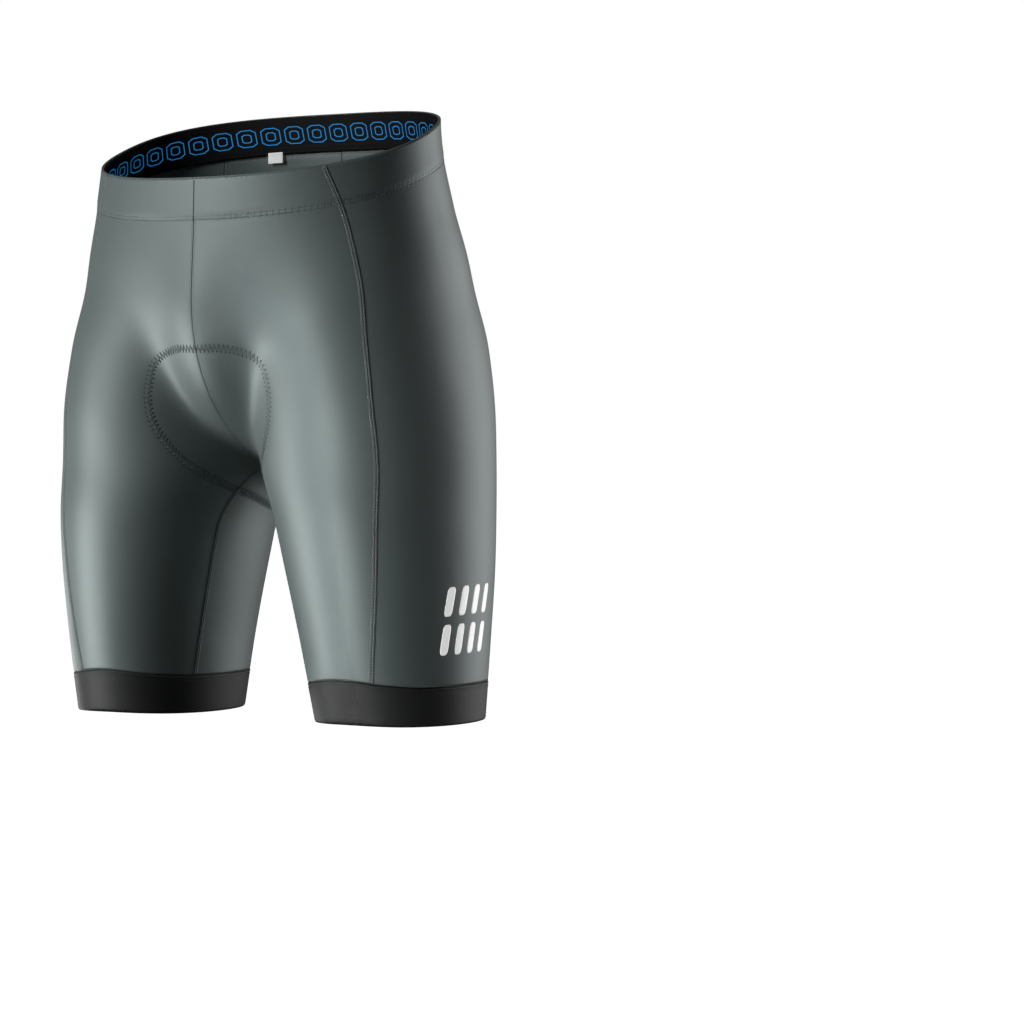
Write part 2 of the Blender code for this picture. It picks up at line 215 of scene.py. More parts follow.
def row_start(row):
    """Points near the form along one row of the left half, from the front or inseam round to the back."""
    share = np.linspace(0, 1, SHARES)
    cosine = np.cos(math.pi * share)
    forward = 0.0
    if row <= 1:
        side = WAIST_SIDE + (SIDE_AT_CROTCH_ROW - WAIST_SIDE) * row
        front = end_height(row, WAIST_FRONT, FRONT_TURN, FRONT_TURN_ROW)
        back = end_height(row, WAIST_BACK, BACK_TURN, BACK_TURN_ROW)
        skew = WAIST_SKEW * max(1 - 2 * row, 0) ** 2
    else:
        side = max(SIDE_AT_CROTCH_ROW + (PANEL_END - SIDE_AT_CROTCH_ROW) * (row - 1), PANEL_END)
        front = back = max(CROTCH + (PANEL_END - CROTCH) * (row - 1), PANEL_END)
        below = max(row - 2, 0) * (CROTCH - PANEL_END)
        side, front, back, skew = side - below, front - below, back - below, 0.0
        forward = INSEAM_FORWARD * math.sin(min((row - 1) / INSEAM_EASE, 1) * math.pi / 2)
    tilt, sag = (front - back) / 2, (front + back) / 2 - side
    height = side + tilt * cosine + sag * cosine**2 + skew * (cosine**3 - cosine)
    outer = column(START, START_COLUMNS, "outer", height)
    inner = np.minimum(column(START, START_COLUMNS, "inner", height), outer)
    if row > 1:
        inner = np.maximum(inner, SOFT_MIRROR)
    middle, half = (outer + inner) / 2, (outer - inner) / 2
    open_by = np.arccos(np.clip((middle - SOFT_MIRROR) / half, -1, 1))
    first, last = open_by[0], open_by[-1]
    angle = first + forward + (2 * math.pi - first - last) * share
    across = middle - half * np.cos(angle)
    x = np.sqrt(np.maximum(across**2 - SOFT_MIRROR**2, 0))
    if row <= 1:
        x[[0, -1]] = 0
    return np.stack([x, -START_DEPTH * np.sin(angle), height], axis=1)


def lengths(points):
    """Distance along a line of points."""
    return np.concatenate([[0], np.cumsum(np.linalg.norm(np.diff(points, axis=0), axis=1))])


def points_at(line, at):
    """Points at these distances along a line of points."""
    along = lengths(line)
    return np.stack([np.interp(at, along, line[:, k]) for k in range(3)], axis=1)


def evenly(line, count):
    """The same line as this many points, evenly spaced."""
    return points_at(line, np.linspace(0, lengths(line)[-1], count))


def make_rows():
    """The rows of the left half, with even points along them. Those just above the crotch are evened too."""
    above = np.linspace(0, 1, ROWS_ABOVE + 1)
    rows = np.concatenate([above, np.linspace(1, LAST_ROW, ROWS_BELOW + 1)[1:]])
    lines = onto_form(np.concatenate([row_start(row) for row in rows])).reshape(len(rows), SHARES, 3)
    even = np.concatenate([evenly(line, SHARES) for line in lines])
    grid = onto_form(even, 4).reshape(len(rows), SHARES, 3)
    first = int(np.searchsorted(rows, EVEN_FROM_ROW))
    t = np.linspace(0, 1, ROWS_ABOVE - first + 1)[:, None, None]
    grid[first : ROWS_ABOVE + 1] = grid[first] * (1 - t) + grid[ROWS_ABOVE] * t
    return rows, onto_form(grid.reshape(-1, 3), 6).reshape(grid.shape)


ROWS, GRID = make_rows()


def cloth_points(row, share):
    """Points of the form at these rows and shares of a row's length."""
    row, share = np.broadcast_arrays(row, share)
    at = np.interp(row.ravel(), ROWS, np.arange(len(ROWS)))
    across = np.clip(share.ravel(), 0, 1) * (SHARES - 1)
    i = np.minimum(at.astype(int), len(ROWS) - 2)
    j = np.minimum(across.astype(int), SHARES - 2)
    a, b = (at - i)[:, None], (across - j)[:, None]
    upper = GRID[i, j] * (1 - b) + GRID[i, j + 1] * b
    lower = GRID[i + 1, j] * (1 - b) + GRID[i + 1, j + 1] * b
    return onto_form(upper * (1 - a) + lower * a, 3).reshape(row.shape + (3,))


# How far out the seams between the front, side and back panels lie
SEAM_COLUMNS = ("height", "front", "back")
SEAMS = (
    (0.040, 0.082, 0.095),
    (-0.025, 0.104, 0.106),
    (-0.055, 0.116, 0.112),
    (-0.120, 0.133, 0.126),
    (-0.190, 0.145, 0.138),
    (-0.260, 0.151, 0.145),
    (-0.350, 0.149, 0.145),
    (-0.435, 0.140, 0.137),
)


def seam_shares(name, half):
    """The share at which each row crosses a seam, within the front or the back half of the row."""
    shares = np.linspace(0, 1, SHARES)[half]
    found = []
    for line in GRID[:, half]:
        beyond = line[:, 0] - column(SEAMS, SEAM_COLUMNS, name, line[:, 2])
        order = np.argsort(beyond)
        found.append(np.interp(0, beyond[order], shares[order]))
    return np.array(found)


SEAM_LINES = {
    "centre_front": 0 * ROWS,
    "front": seam_shares("front", slice(0, SHARES // 2)),
    "back": seam_shares("back", slice(SHARES // 2, SHARES)),
    "centre_back": 0 * ROWS + 1,
}
GIRTHS = np.array([lengths(line)[-1] for line in GRID])

# The outline of the seat pad. length is measured along its middle line, from the front edge.
PAD_COLUMNS = ("length", "half_width")
PAD = (
    (0.000, 0.020),
    (0.012, 0.047),
    (0.035, 0.061),
    (0.065, 0.064),
    (0.095, 0.052),
    (0.125, 0.037),
    (0.155, 0.034),
    (0.190, 0.050),
    (0.225, 0.074),
    (0.260, 0.082),
    (0.290, 0.072),
    (0.305, 0.054),
)
PAD_TOP_FRONT = -0.166
PAD_LENGTH = PAD[-1][0]


def pad_half_width(length):
    return column(PAD, PAD_COLUMNS, "half_width", length)


def pad_centre_line(count):
    """Points down the middle of the pad, from the centre front under the crotch to the centre back."""
    front = GRID[ROWS <= 1, 0]
    line = np.concatenate([front, GRID[ROWS <= 1, -1][::-1][1:]])
    line[:, 0] = 0
    start = np.interp(-PAD_TOP_FRONT, -front[:, 2], lengths(front))
    return points_at(line, start + PAD_LENGTH * np.linspace(0, 1, count))


def pad_grid(rows, steps):
    """Points of the form under the left half of the pad, in lines laid straight out from its middle line."""
    point = pad_centre_line(rows + 1)
    step = pad_half_width(np.linspace(0, PAD_LENGTH, rows + 1))[:, None] / steps
    heading = np.tile([1.0, 0.0, 0.0], (len(point), 1))
    lines = [point]
    for _ in range(steps):
        point = onto_form(point + heading * step, 3)
        normal = outward(point)
        heading = unit(heading - (heading * normal).sum(1)[:, None] * normal)
        lines.append(point)
    return np.stack(lines, axis=1)


class Socket:
    """A shader socket that takes part in sums: an expression on it adds Math nodes."""

    def __init__(self, nodes, socket):
        self.nodes = nodes
        self.socket = socket

    def math(self, operation, *others):
        return self.nodes.add("ShaderNodeMath", {"operation": operation}, [self, *others])

    def __add__(self, other):
        return self.math("ADD", other)

    def __sub__(self, other):
        return self.math("SUBTRACT", other)

    def __rsub__(self, other):
        return self.nodes.add("ShaderNodeMath", {"operation": "SUBTRACT"}, [other, self])

    def __mul__(self, other):
        return self.math("MULTIPLY", other)

    def __truediv__(self, other):
        return self.math("DIVIDE", other)

    __radd__ = __add__
    __rmul__ = __mul__


class Nodes:
    """The node tree of one material."""

    def __init__(self, name):
        self.material = bpy.data.materials.new(name)
        self.material.use_nodes = True
        self.tree = self.material.node_tree
        self.shader = self.tree.nodes["Principled BSDF"]

    def add(self, kind, settings=None, values=None, out=0):
        """Adds a node: first its settings, then the values or links of its sockets, by name or in order."""
        node = self.tree.nodes.new(kind)
        for key, value in (settings or {}).items():
            setattr(node, key, value)
        pairs = enumerate(values) if isinstance(values, list) else (values or {}).items()
        for key, value in pairs:
            self.put(node.inputs[key], value)
        return Socket(self, node.outputs[out])

    def put(self, target, value):
        if isinstance(value, Socket):
            self.tree.links.new(value.socket, target)
        else:
            target.default_value = value

    def set(self, **inputs):
        """Sets or links sockets of the material's own shader."""
        for name, value in inputs.items():
            self.put(self.shader.inputs[name.replace("_", " ")], value)

    def where(self):
        return self.add("ShaderNodeTexCoord", out=3)

    def attribute(self, name):
        """The three parts of a vector that the mesh carries, in metres."""
        vector = self.add("ShaderNodeAttribute", {"attribute_name": name}, out=1)
        parts = self.tree.nodes.new("ShaderNodeSeparateXYZ")
        self.tree.links.new(vector.socket, parts.inputs[0])
        return [Socket(self, output) for output in parts.outputs]

    def noise(self, vector, scale, detail=2.0, roughness=0.5):
        values = {"Vector": vector, "Scale": scale, "Detail": detail, "Roughness": roughness}
        return self.add("ShaderNodeTexNoise", None, values)

    def wave(self, value, period):
        """A smooth wave from -1 to 1 over each period."""
        return (value * (2 * math.pi / period)).math("SINE")

    def band(self, value, middle, half, soft):
        """1 where the value is within half of the middle, 0 outside, with a soft edge."""
        far = (value - middle).math("ABSOLUTE")
        ends = {"Value": far, "From Min": half + soft, "From Max": half - soft, "To Min": 0.0, "To Max": 1.0}
        return self.add("ShaderNodeMapRange", {"interpolation_type": "SMOOTHSTEP"}, ends)

    def mix(self, factor, a, b):
        """A colour between a and b."""
        node = self.tree.nodes.new("ShaderNodeMix")
        node.data_type = "RGBA"
        for index, value in ((0, factor), (6, a), (7, b)):
            self.put(node.inputs[index], value)
        return Socket(self, node.outputs[2])

    def bump(self, height, distance, strength=1.0, under=None):
        values = {"Height": height, "Distance": distance, "Strength": strength}
        if under is not None:
            values["Normal"] = under
        return self.add("ShaderNodeBump", None, values)


SIDES = (("left", 1), ("right", -1))


def smooth(value, low, high):
    """0 below low, 1 above high, and a soft step between."""
    t = np.clip((value - low) / (high - low), 0, 1)
    return t * t * (3 - 2 * t)


def mirrored(points):
    return points * np.array([-1, 1, 1])


def on_side(points, side):
    """Points made for the left half, on the left side or mirrored to the right one."""
    return points if side > 0 else mirrored(points)


def cloth_tags(across, down, more=0.0):
    """The cloth attribute of a grid of points: metres across and down the cloth, and one value more."""
    return np.stack(np.broadcast_arrays(across, down, more), axis=2)


def finish_piece(name, bm, material, wall=0.0, tags=None):
    """Makes an object from a bmesh. wall is a sheet's thickness, inwards; tags is its cloth attribute."""
    mesh = bpy.data.meshes.new(name)
    for face in bm.faces:
        face.smooth = True
    bm.to_mesh(mesh)
    bm.free()
    if tags is not None:
        layer = mesh.attributes.new("cloth", "FLOAT_VECTOR", "POINT")
        layer.data.foreach_set("vector", np.asarray(tags, dtype=np.float32).ravel())
    mesh.materials.append(material)
    piece = bpy.data.objects.new(name, mesh)
    bpy.context.scene.collection.objects.link(piece)
    if wall:
        solid = piece.modifiers.new("wall", "SOLIDIFY")
        solid.thickness = wall
        solid.offset = -1
        solid.use_even_offset = False
    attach(piece, "root")
    return piece


def mapped_sheet(name, points, grid_tags, material, wall, closed=False, facing=None):
    """A sheet from a bmesh grid whose vertices are laid on rows of points.

    It faces out of the form, or the way that is given. A closed sheet is a ring, joined where it meets.
    """
    rows, columns = points.shape[:2]
    bm = bmesh.new()
    bmesh.ops.create_grid(bm, x_segments=columns - 1, y_segments=rows - 1, size=0.5)
    order = [(round((0.5 - v.co.y) * (rows - 1)), round((v.co.x + 0.5) * (columns - 1))) for v in bm.verts]
    for vertex, (i, j) in zip(bm.verts, order):
        vertex.co = points[i, j]
    bm.normal_update()
    normals = facing if facing is not None else outward(points)
    bm.verts.ensure_lookup_table()
    middle = len(order) // 2
    if bm.verts[middle].normal.dot(Vector(normals[order[middle]])) < 0:
        bmesh.ops.reverse_faces(bm, faces=bm.faces)
    tags = np.array([grid_tags[i, j] for i, j in order])
    if closed:
        layer = bm.verts.layers.float_vector.new("cloth")
        for vertex, tag in zip(bm.verts, tags):
            vertex[layer] = tag
        bmesh.ops.remove_doubles(bm, verts=bm.verts, dist=0.00002)
        return finish_piece(name, bm, material, wall)
    return finish_piece(name, bm, material, wall, tags)


def tint(colour, strength):
    """A colour made darker or lighter."""
    return tuple(strength * part for part in colour[:3]) + (1,)


def finish(name):
    """Turns a function that lays out nodes from the colours into one that makes the material of this name."""

    def make(lay_out):
        def material():
            nodes = Nodes(name)
            lay_out(nodes, bpy.context.scene.shorts_colours)
            return nodes.material

        return material

    return make


# The cloth, the gaps between its layers, and where the stitch lines run
CLOTH = 0.0014
SEAM_GAP = 0.0005
FOLD_EDGE = 0.0005
BAND_GAP = 0.0006
LAYER_GAP = 0.0006
STRIP_WALL = 0.0005
PAD_GAP = 0.0019
WAIST_LINES = (0.0305, 0.0333)
WAIST_MIDDLE = sum(WAIST_LINES) / 2
PAD_STITCH_INSET = 0.002
HOLE_PITCH = 0.0026

# The low relief that the waist fold and the stitch lines leave in the cloth
FOLD_RISE = 0.0006
FOLD_STEP = (WAIST_LINES[0] - 0.001, WAIST_LINES[0] + 0.0045)
WAIST_DIP = 0.00035
WAIST_DIP_WIDTH = 0.0011
PAD_DIP = 0.0003
PAD_DIP_WIDTH = 0.0026
NEAR_WAIST_ROW = 0.35

# How far down the cloth each row lies from the waist edge, at even shares
WAIST_ROWS = np.linspace(0, 0.4, 41)
WAIST_SHARES = np.linspace(0, 1, 81)
WAIST_GRID = cloth_points(WAIST_ROWS[None, :], WAIST_SHARES[:, None])
WAIST_DOWN = np.stack([lengths(line) for line in WAIST_GRID], axis=1)


def depth_below_waist(row, share):
    """How far down the cloth each point lies from the waist edge, for the rows near it."""
    last_row, last_share = len(WAIST_ROWS) - 1, len(WAIST_SHARES) - 1
    at = np.clip(np.interp(row, WAIST_ROWS, np.arange(last_row + 1)), 0, last_row - 0.001)
    across = np.clip(share, 0, 1) * (last_share - 0.001)
    i, j = at.astype(int), across.astype(int)
    a, b = at - i, across - j
    upper = WAIST_DOWN[i, j] * (1 - b) + WAIST_DOWN[i, j + 1] * b
    lower = WAIST_DOWN[i + 1, j] * (1 - b) + WAIST_DOWN[i + 1, j + 1] * b
    return upper * (1 - a) + lower * a


def waist_line(share, depth):
    """Points at one depth below the waist edge."""
    rows = [np.interp(depth, down, WAIST_ROWS) for down in WAIST_DOWN.T]
    return cloth_points(np.interp(share, WAIST_SHARES, rows), share)


def pad_outline(inset=PAD_STITCH_INSET, count=200):
    """The closed line on the form where the pad is stitched down, evenly spaced."""
    rows, steps = 160, 40
    grid = pad_grid(rows, steps)
    at = steps * (1 - inset / np.maximum(pad_half_width(np.linspace(0, PAD_LENGTH, rows + 1)), 0.02))
    step = np.arange(steps + 1)
    edge = np.array([[np.interp(a, step, line[:, k]) for k in range(3)] for a, line in zip(at, grid)])
    left = np.concatenate([grid[1, ::8][:-1], edge[2:-1], grid[-2, ::-8][1:]])
    loop = np.concatenate([left, mirrored(left[::-1])[1:-1], left[:1]])
    for _ in range(3):
        loop[1:-1] = (loop[:-2] + 2 * loop[1:-1] + loop[2:]) / 4
    return onto_form(evenly(loop, count + 1), 4)


PAD_LINE = pad_outline()


def gap_to_pad_line(points, block=4000):
    """How far each point is from the line where the pad is stitched down. Those far from the pad get 1 m."""
    near = (np.abs(points[:, 0]) < 0.11) & (points[:, 2] > -0.34) & (points[:, 2] < -0.13)
    picked = points[near]
    gap = np.full(len(points), 1.0)
    nearest = np.full(len(picked), 1.0)
    for start in range(0, len(picked), block):
        part = slice(start, start + block)
        nearest[part] = np.linalg.norm(picked[part, None] - PAD_LINE[None], axis=2).min(1)
    gap[near] = nearest
    return gap


def relief(points, row, share):
    """How far the cloth stands out from the plain form."""
    depth = depth_below_waist(row, share)
    out = FOLD_RISE * (1 - smooth(depth, *FOLD_STEP))
    for line in WAIST_LINES:
        out -= WAIST_DIP * np.exp(-(((depth - line) / WAIST_DIP_WIDTH) ** 2))
    gap = gap_to_pad_line(points.reshape(-1, 3)).reshape(row.shape)
    return np.where(row < NEAR_WAIST_ROW, out, 0.0) - PAD_DIP * np.exp(-((gap / PAD_DIP_WIDTH) ** 2))


def panel_sheet(name, first, last, rows, columns, side, material):
    """One cloth panel between two seam lines, from the waist edge to the leg band."""
    down = np.linspace(0, 2, rows + 1)
    girth = np.interp(down, ROWS, GIRTHS)
    start = np.interp(down, ROWS, first) + SEAM_GAP / 2 / girth
    end = np.interp(down, ROWS, last) - SEAM_GAP / 2 / girth
    # A narrow column beside each seam keeps the cloth flat up to it
    across = np.linspace(0, 1, columns + 1)
    across = np.concatenate([across[:1], across, across[-1:]])
    share = start[:, None] + (end - start)[:, None] * across[None, :]
    share[:, 1] += FOLD_EDGE / girth
    share[:, -2] -= FOLD_EDGE / girth
    row = np.broadcast_to(down[:, None], share.shape)
    points = cloth_points(row, share)
    normals = outward(points)
    points = points + normals * relief(points, row, share)[..., None]
    fall = np.stack([lengths(line) for line in points.swapaxes(0, 1)], axis=1)
    tags = cloth_tags(share * girth[:, None], fall, depth_below_waist(row, share))
    return mapped_sheet(name, on_side(points, side), tags, material, CLOTH, facing=on_side(normals, side))


class ShortsSizes(bpy.types.PropertyGroup):
    """Sizes that a user would change."""

    stitch_length: FloatProperty(
        name="Stitch length", description="Length of one seam stitch", default=0.0017, unit="LENGTH"
    )
    stitch_pitch: FloatProperty(
        name="Stitch pitch", description="From one seam stitch to the next", default=0.0025, unit="LENGTH"
    )
    thread: FloatProperty(name="Thread", description="Thickness of the thread", default=0.0004, unit="LENGTH")
    pit_length: FloatProperty(
        name="Pit length", description="Length of the dint at a needle hole", default=0.0012, unit="LENGTH"
    )
    pit_width: FloatProperty(
        name="Pit width", description="Width of the dint at a needle hole", default=0.0008, unit="LENGTH"
    )
    seam_width: FloatProperty(
        name="Seam width", description="Width of a raised flat seam", default=0.0048, unit="LENGTH"
    )
    seam_height: FloatProperty(
        name="Seam height", description="How far a flat seam stands out", default=0.0006, unit="LENGTH"
    )
    zigzag_width: FloatProperty(
        name="Zigzag width", description="Width of the pad's zigzag seam", default=0.0058, unit="LENGTH"
    )
    zigzag_pitch: FloatProperty(
        name="Zigzag pitch", description="Length of one full zigzag", default=0.0036, unit="LENGTH"
    )


COLOUR = {"subtype": "COLOR", "size": 4}


class ShortsColours(bpy.types.PropertyGroup):
    """Colours that a user would change."""

    knit: FloatVectorProperty(
        name="Knit", description="The outer cloth", default=(0.077, 0.097, 0.095, 1), **COLOUR
    )
    thread: FloatVectorProperty(
        name="Thread", description="Seam thread", default=(0.085, 0.106, 0.104, 1), **COLOUR
    )
    gripper: FloatVectorProperty(
        name="Gripper", description="The leg bands", default=(0.0105, 0.0110, 0.0115, 1), **COLOUR
    )
    elastic: FloatVectorProperty(
        name="Elastic", description="The waist elastic", default=(0.004, 0.004, 0.005, 1), **COLOUR
    )
    motif: FloatVectorProperty(
        name="Motif", description="The outlines on the elastic", default=(0.012, 0.240, 0.600, 1), **COLOUR
    )
    foam: FloatVectorProperty(
        name="Foam", description="The seat pad", default=(0.270, 0.292, 0.292, 1), **COLOUR
    )
    mark: FloatVectorProperty(
        name="Mark", description="The reflective thigh mark", default=(0.78, 0.79, 0.79, 1), **COLOUR
    )
    label: FloatVectorProperty(
        name="Label", description="The blank label", default=(0.76, 0.76, 0.74, 1), **COLOUR
    )


@finish("smooth_knit")
def knit_material(nodes, colours):
    """Smooth warp knit with a satin face, needle holes at the waist darkened with painted shade, and a
    shallow pucker along them.
    """
    across, down, depth = nodes.attribute("cloth")
    where = nodes.where()
    broad = nodes.noise(where, 9.0, 3.0)
    fine = nodes.noise(where, 900.0, 2.0)
    wales = nodes.wave(across, 0.00085)
    courses = nodes.wave(down, 0.00110)
    dark = tint(colours.knit, 0.90)
    light = tint(colours.knit, 1.08)
    tone = (broad - 0.5) * 0.7 + (fine - 0.5) * 0.35 + wales * courses * 0.06 + 0.5
    cloth = nodes.mix(tone, dark, light)
    first, second = (nodes.band(depth, line, 0.00035, 0.0003) for line in WAIST_LINES)
    rows = first + second
    holes = rows * nodes.band(nodes.wave(across, HOLE_PITCH), 1.0, 0.9, 0.5)
    # Painted shade: the needle holes, and faintly the two stitch rows at the waist, are darkened
    hole_shade = tint(colours.knit, 0.22)
    nodes.set(Base_Color=nodes.mix(holes * 0.75 + rows * 0.15, cloth, hole_shade))
    nodes.set(Roughness=0.49 + fine * 0.06, Specular_IOR_Level=1.0, Specular_Tint=(0.86, 1.0, 0.985, 1))
    nodes.set(Sheen_Weight=0.05, Sheen_Roughness=0.45)
    near_waist = nodes.band(depth, WAIST_MIDDLE, 0.0030, 0.0030)
    pucker = nodes.wave(across + (nodes.noise(where, 60.0) - 0.5) * 0.004, 0.0052) * near_waist
    weave = nodes.bump(wales * 0.25 + courses * 0.2 + fine * 0.6, 0.00010, 0.12)
    nodes.set(Normal=nodes.bump(pucker * 0.00005 - holes * 0.0002 + broad * 0.0012, 1.0, 0.8, weave))


@finish("flat_seam")
def seam_material(nodes, colours):
    """The raised flat seam: cloth under rows of crossing thread, with a line of needle holes on each side.
    The needle holes, those down its middle too, and the strip's two edges are darkened with painted shade.
    """
    across, down, _ = nodes.attribute("cloth")
    threads = nodes.wave(down, 0.0012)
    away = across.math("ABSOLUTE")
    fine = nodes.noise(nodes.where(), 700.0)
    rows = nodes.band(away, 0.00150, 0.00030, 0.00025) + nodes.band(across, 0.0, 0.00022, 0.0002)
    holes = rows * nodes.band(nodes.wave(down, HOLE_PITCH), 1.0, 1.1, 0.6)
    dark = tint(colours.knit, 0.75)
    cloth = nodes.mix(fine * 0.5 + 0.4, dark, tint(colours.knit, 1.0))
    # Painted shade: the needle holes and the two edges, where the strip sinks into the cloth, are darkened
    hole_shade = tint(colours.knit, 0.16)
    edge = nodes.band(away, 0.00235, 0.00020, 0.00020)
    nodes.set(Base_Color=nodes.mix(holes * 0.8 + edge * 0.5, cloth, hole_shade))
    nodes.set(Roughness=0.5 + fine * 0.2, Specular_IOR_Level=0.8, Sheen_Weight=0.15)
    nodes.set(Normal=nodes.bump(threads * 0.3 + fine * 0.5 - holes * 1.5, 0.0003, 0.6))


@finish("thread")
def thread_material(nodes, colours):
    """Matt thread, a little paler than the cloth."""
    fine = nodes.noise(nodes.where(), 1500.0)
    pale = tint(colours.thread, 1.5)
    nodes.set(Base_Color=nodes.mix(fine, tint(colours.thread, 1.0), pale))
    nodes.set(Roughness=0.4 + fine * 0.2, Normal=nodes.bump(fine, 0.0001, 0.6))


@finish("needle_pit_shade")
def pit_shade_material(nodes, colours):
    """The shaded cloth in a needle hole."""
    fine = nodes.noise(nodes.where(), 1500.0)
    dark = tint(colours.knit, 0.15)
    pale = tint(colours.knit, 0.40)
    nodes.set(Base_Color=nodes.mix(fine, dark, pale), Roughness=0.8 + fine * 0.1, Specular_IOR_Level=0.1)


@finish("gripper_elastic")
def gripper_material(nodes, colours):
    """Dense black elastic with fine ribs round the leg and a rubbery face."""
    across, down, _ = nodes.attribute("cloth")
    where = nodes.where()
    ribs = nodes.wave(down, 0.0013)
    wales = nodes.wave(across, 0.0009)
    fine = nodes.noise(where, 800.0)
    broad = nodes.noise(where, 14.0, 3.0)
    pale = tint(colours.gripper, 1.7)
    nodes.set(Base_Color=nodes.mix(broad * 0.6 + fine * 0.3 + ribs * 0.06, tint(colours.gripper, 1.0), pale))
    nodes.set(Roughness=0.52 + fine * 0.15, Specular_IOR_Level=0.35)
    under = nodes.bump(ribs * 0.4 + wales * 0.2 + fine * 0.6, 0.00012, 0.25)
    nodes.set(Normal=nodes.bump(broad, 0.001, 0.2, under))


@finish("waist_elastic_weave")
def elastic_material(nodes, colours):
    """Black woven elastic with a plain chain of blue outlined lozenges along it; the lozenges glow a little
    as painted light.
    """
    across, down, _ = nodes.attribute("cloth")
    where = nodes.where()
    ribs = nodes.wave(down, 0.0016)
    wales = nodes.wave(across, 0.0011)
    fine = nodes.noise(where, 900.0)
    slanted = across + (down - 0.015) * 0.22
    step = 0.0215
    local = (slanted / step).math("FRACT") * step - step / 2
    far_across = local.math("ABSOLUTE")
    far_down = (down - 0.0150).math("ABSOLUTE")
    reach = (far_across / 0.0088).math("MAXIMUM", far_down / 0.0074)
    tilted = (far_across * 0.55 + far_down) / 0.0098
    shape = reach.math("MAXIMUM", tilted)
    outline = nodes.band(shape, 0.95, 0.045, 0.02)
    core = nodes.band(shape, 0.45, 0.045, 0.02)
    line = outline.math("MAXIMUM", core)
    woven = nodes.mix(line * (0.82 + wales * 0.18), tint(colours.elastic, 1.0), tint(colours.motif, 1.0))
    nodes.set(Base_Color=woven, Roughness=0.62 + fine * 0.15, Specular_IOR_Level=0.15)
    # Painted light: the blue lozenges glow, though no lamp is there, to look brighter
    painted_glow = nodes.mix(line, (0.0, 0.0, 0.0, 1.0), tint(colours.motif, 1.0))
    nodes.set(Emission_Color=painted_glow, Emission_Strength=0.55)
    nodes.set(Normal=nodes.bump(ribs * 0.4 + wales * 0.3 + line * 0.8 + fine * 0.3, 0.00020, 0.5))


@finish("pad_foam")
def foam_material(nodes, colours):
    """Moulded foam under brushed jersey, with small sunken dots all over. The dots and the deeper parts of
    slots and grooves are darkened with painted shade.
    """
    across, down, depth = nodes.attribute("cloth")
    where = nodes.where()
    pitch = 0.0052
    row = (down / pitch).math("FLOOR")
    shifted = across / pitch + row * 0.5
    dot_x = (shifted.math("FRACT") - 0.5) * pitch
    dot_y = ((down / pitch).math("FRACT") - 0.5) * pitch
    away = (dot_x * dot_x + dot_y * dot_y).math("SQRT")
    dots = nodes.band(away, 0.0, 0.0006, 0.00025)
    fine = nodes.noise(where, 800.0)
    broad = nodes.noise(where, 30.0, 3.0)
    dark = tint(colours.foam, 0.72)
    pale = tint(colours.foam, 1.12)
    # Painted shade: darker in the sunken dots and the deeper in a slot or groove
    tone = broad * 0.5 + fine * 0.35 + 0.15 - dots * 0.55 - depth * 0.9
    nodes.set(Base_Color=nodes.mix(tone.math("MAXIMUM", 0.0), dark, pale))
    nodes.set(Roughness=0.78 + fine * 0.12, Specular_IOR_Level=0.25, Sheen_Weight=0.3)
    under = nodes.bump(fine + broad * 0.5, 0.0003, 0.4)
    nodes.set(Normal=nodes.bump(dots * -1.0, 0.0005, 0.7, under))


@finish("reflective_film")
def mark_material(nodes, colours):
    """Silvery reflective film pressed into the knit, with a white painted glow that makes it brighter."""
    where = nodes.where()
    fine = nodes.noise(where, 1400.0)
    broad = nodes.noise(where, 50.0, 3.0)
    dark = tint(colours.mark, 0.82)
    nodes.set(Base_Color=nodes.mix(broad * 0.7 + fine * 0.3, dark, tint(colours.mark, 1.0)))
    nodes.set(Roughness=0.30 + fine * 0.2, Metallic=broad * 0.2)
    # Painted light: an even white glow, though the film is no lamp
    nodes.set(Emission_Color=(1.0, 1.0, 1.0, 1.0), Emission_Strength=0.45)
    nodes.set(Normal=nodes.bump(fine, 0.0001, 0.5))


@finish("label_tape")
def label_material(nodes, colours):
    """White satin tape, with a faint painted glow that makes it brighter."""
    across, down, _ = nodes.attribute("cloth")
    weave = nodes.wave(across, 0.0006) * nodes.wave(down, 0.0006)
    fine = nodes.noise(nodes.where(), 1000.0)
    dark = tint(colours.label, 0.88)
    nodes.set(Base_Color=nodes.mix(fine * 0.6 + weave * 0.2 + 0.2, dark, tint(colours.label, 1.0)))
    nodes.set(Roughness=0.45 + fine * 0.2, Normal=nodes.bump(weave + fine, 0.0001, 0.6))
    # Painted light: a faint white glow, though the tape is no lamp
    nodes.set(Emission_Color=(1.0, 1.0, 0.98, 1.0), Emission_Strength=0.25)


def thread_pieces(name, stitches, material, thickness):
    """One mesh of short stitches. Each is a start, an end and the direction out of the cloth."""
    bm = bmesh.new()
    for start, end, out in stitches:
        along = Vector(end - start)
        x = along.normalized()
        z = Vector(out)
        z = (z - x * z.dot(x)).normalized()
        turn = Matrix((x, z.cross(x), z)).transposed().to_4x4()
        size = Matrix.Diagonal((along.length / 2, thickness / 2, thickness / 2.4, 1))
        place = Matrix.Translation(Vector((start + end) / 2)) @ turn @ size
        bmesh.ops.create_icosphere(bm, subdivisions=1, radius=1.0, matrix=place)
    piece = finish_piece(name, bm, material)
    return piece


def along_line(line, pitch, start):
    """Points and directions at even steps along a line. start is how far into the first step they begin."""
    length = lengths(line)[-1]
    count = max(int(length / pitch), 2)
    at = (np.arange(count - int(start)) + start) * length / count
    return points_at(line, at), unit(points_at(line, at + 0.0005) - points_at(line, at - 0.0005))


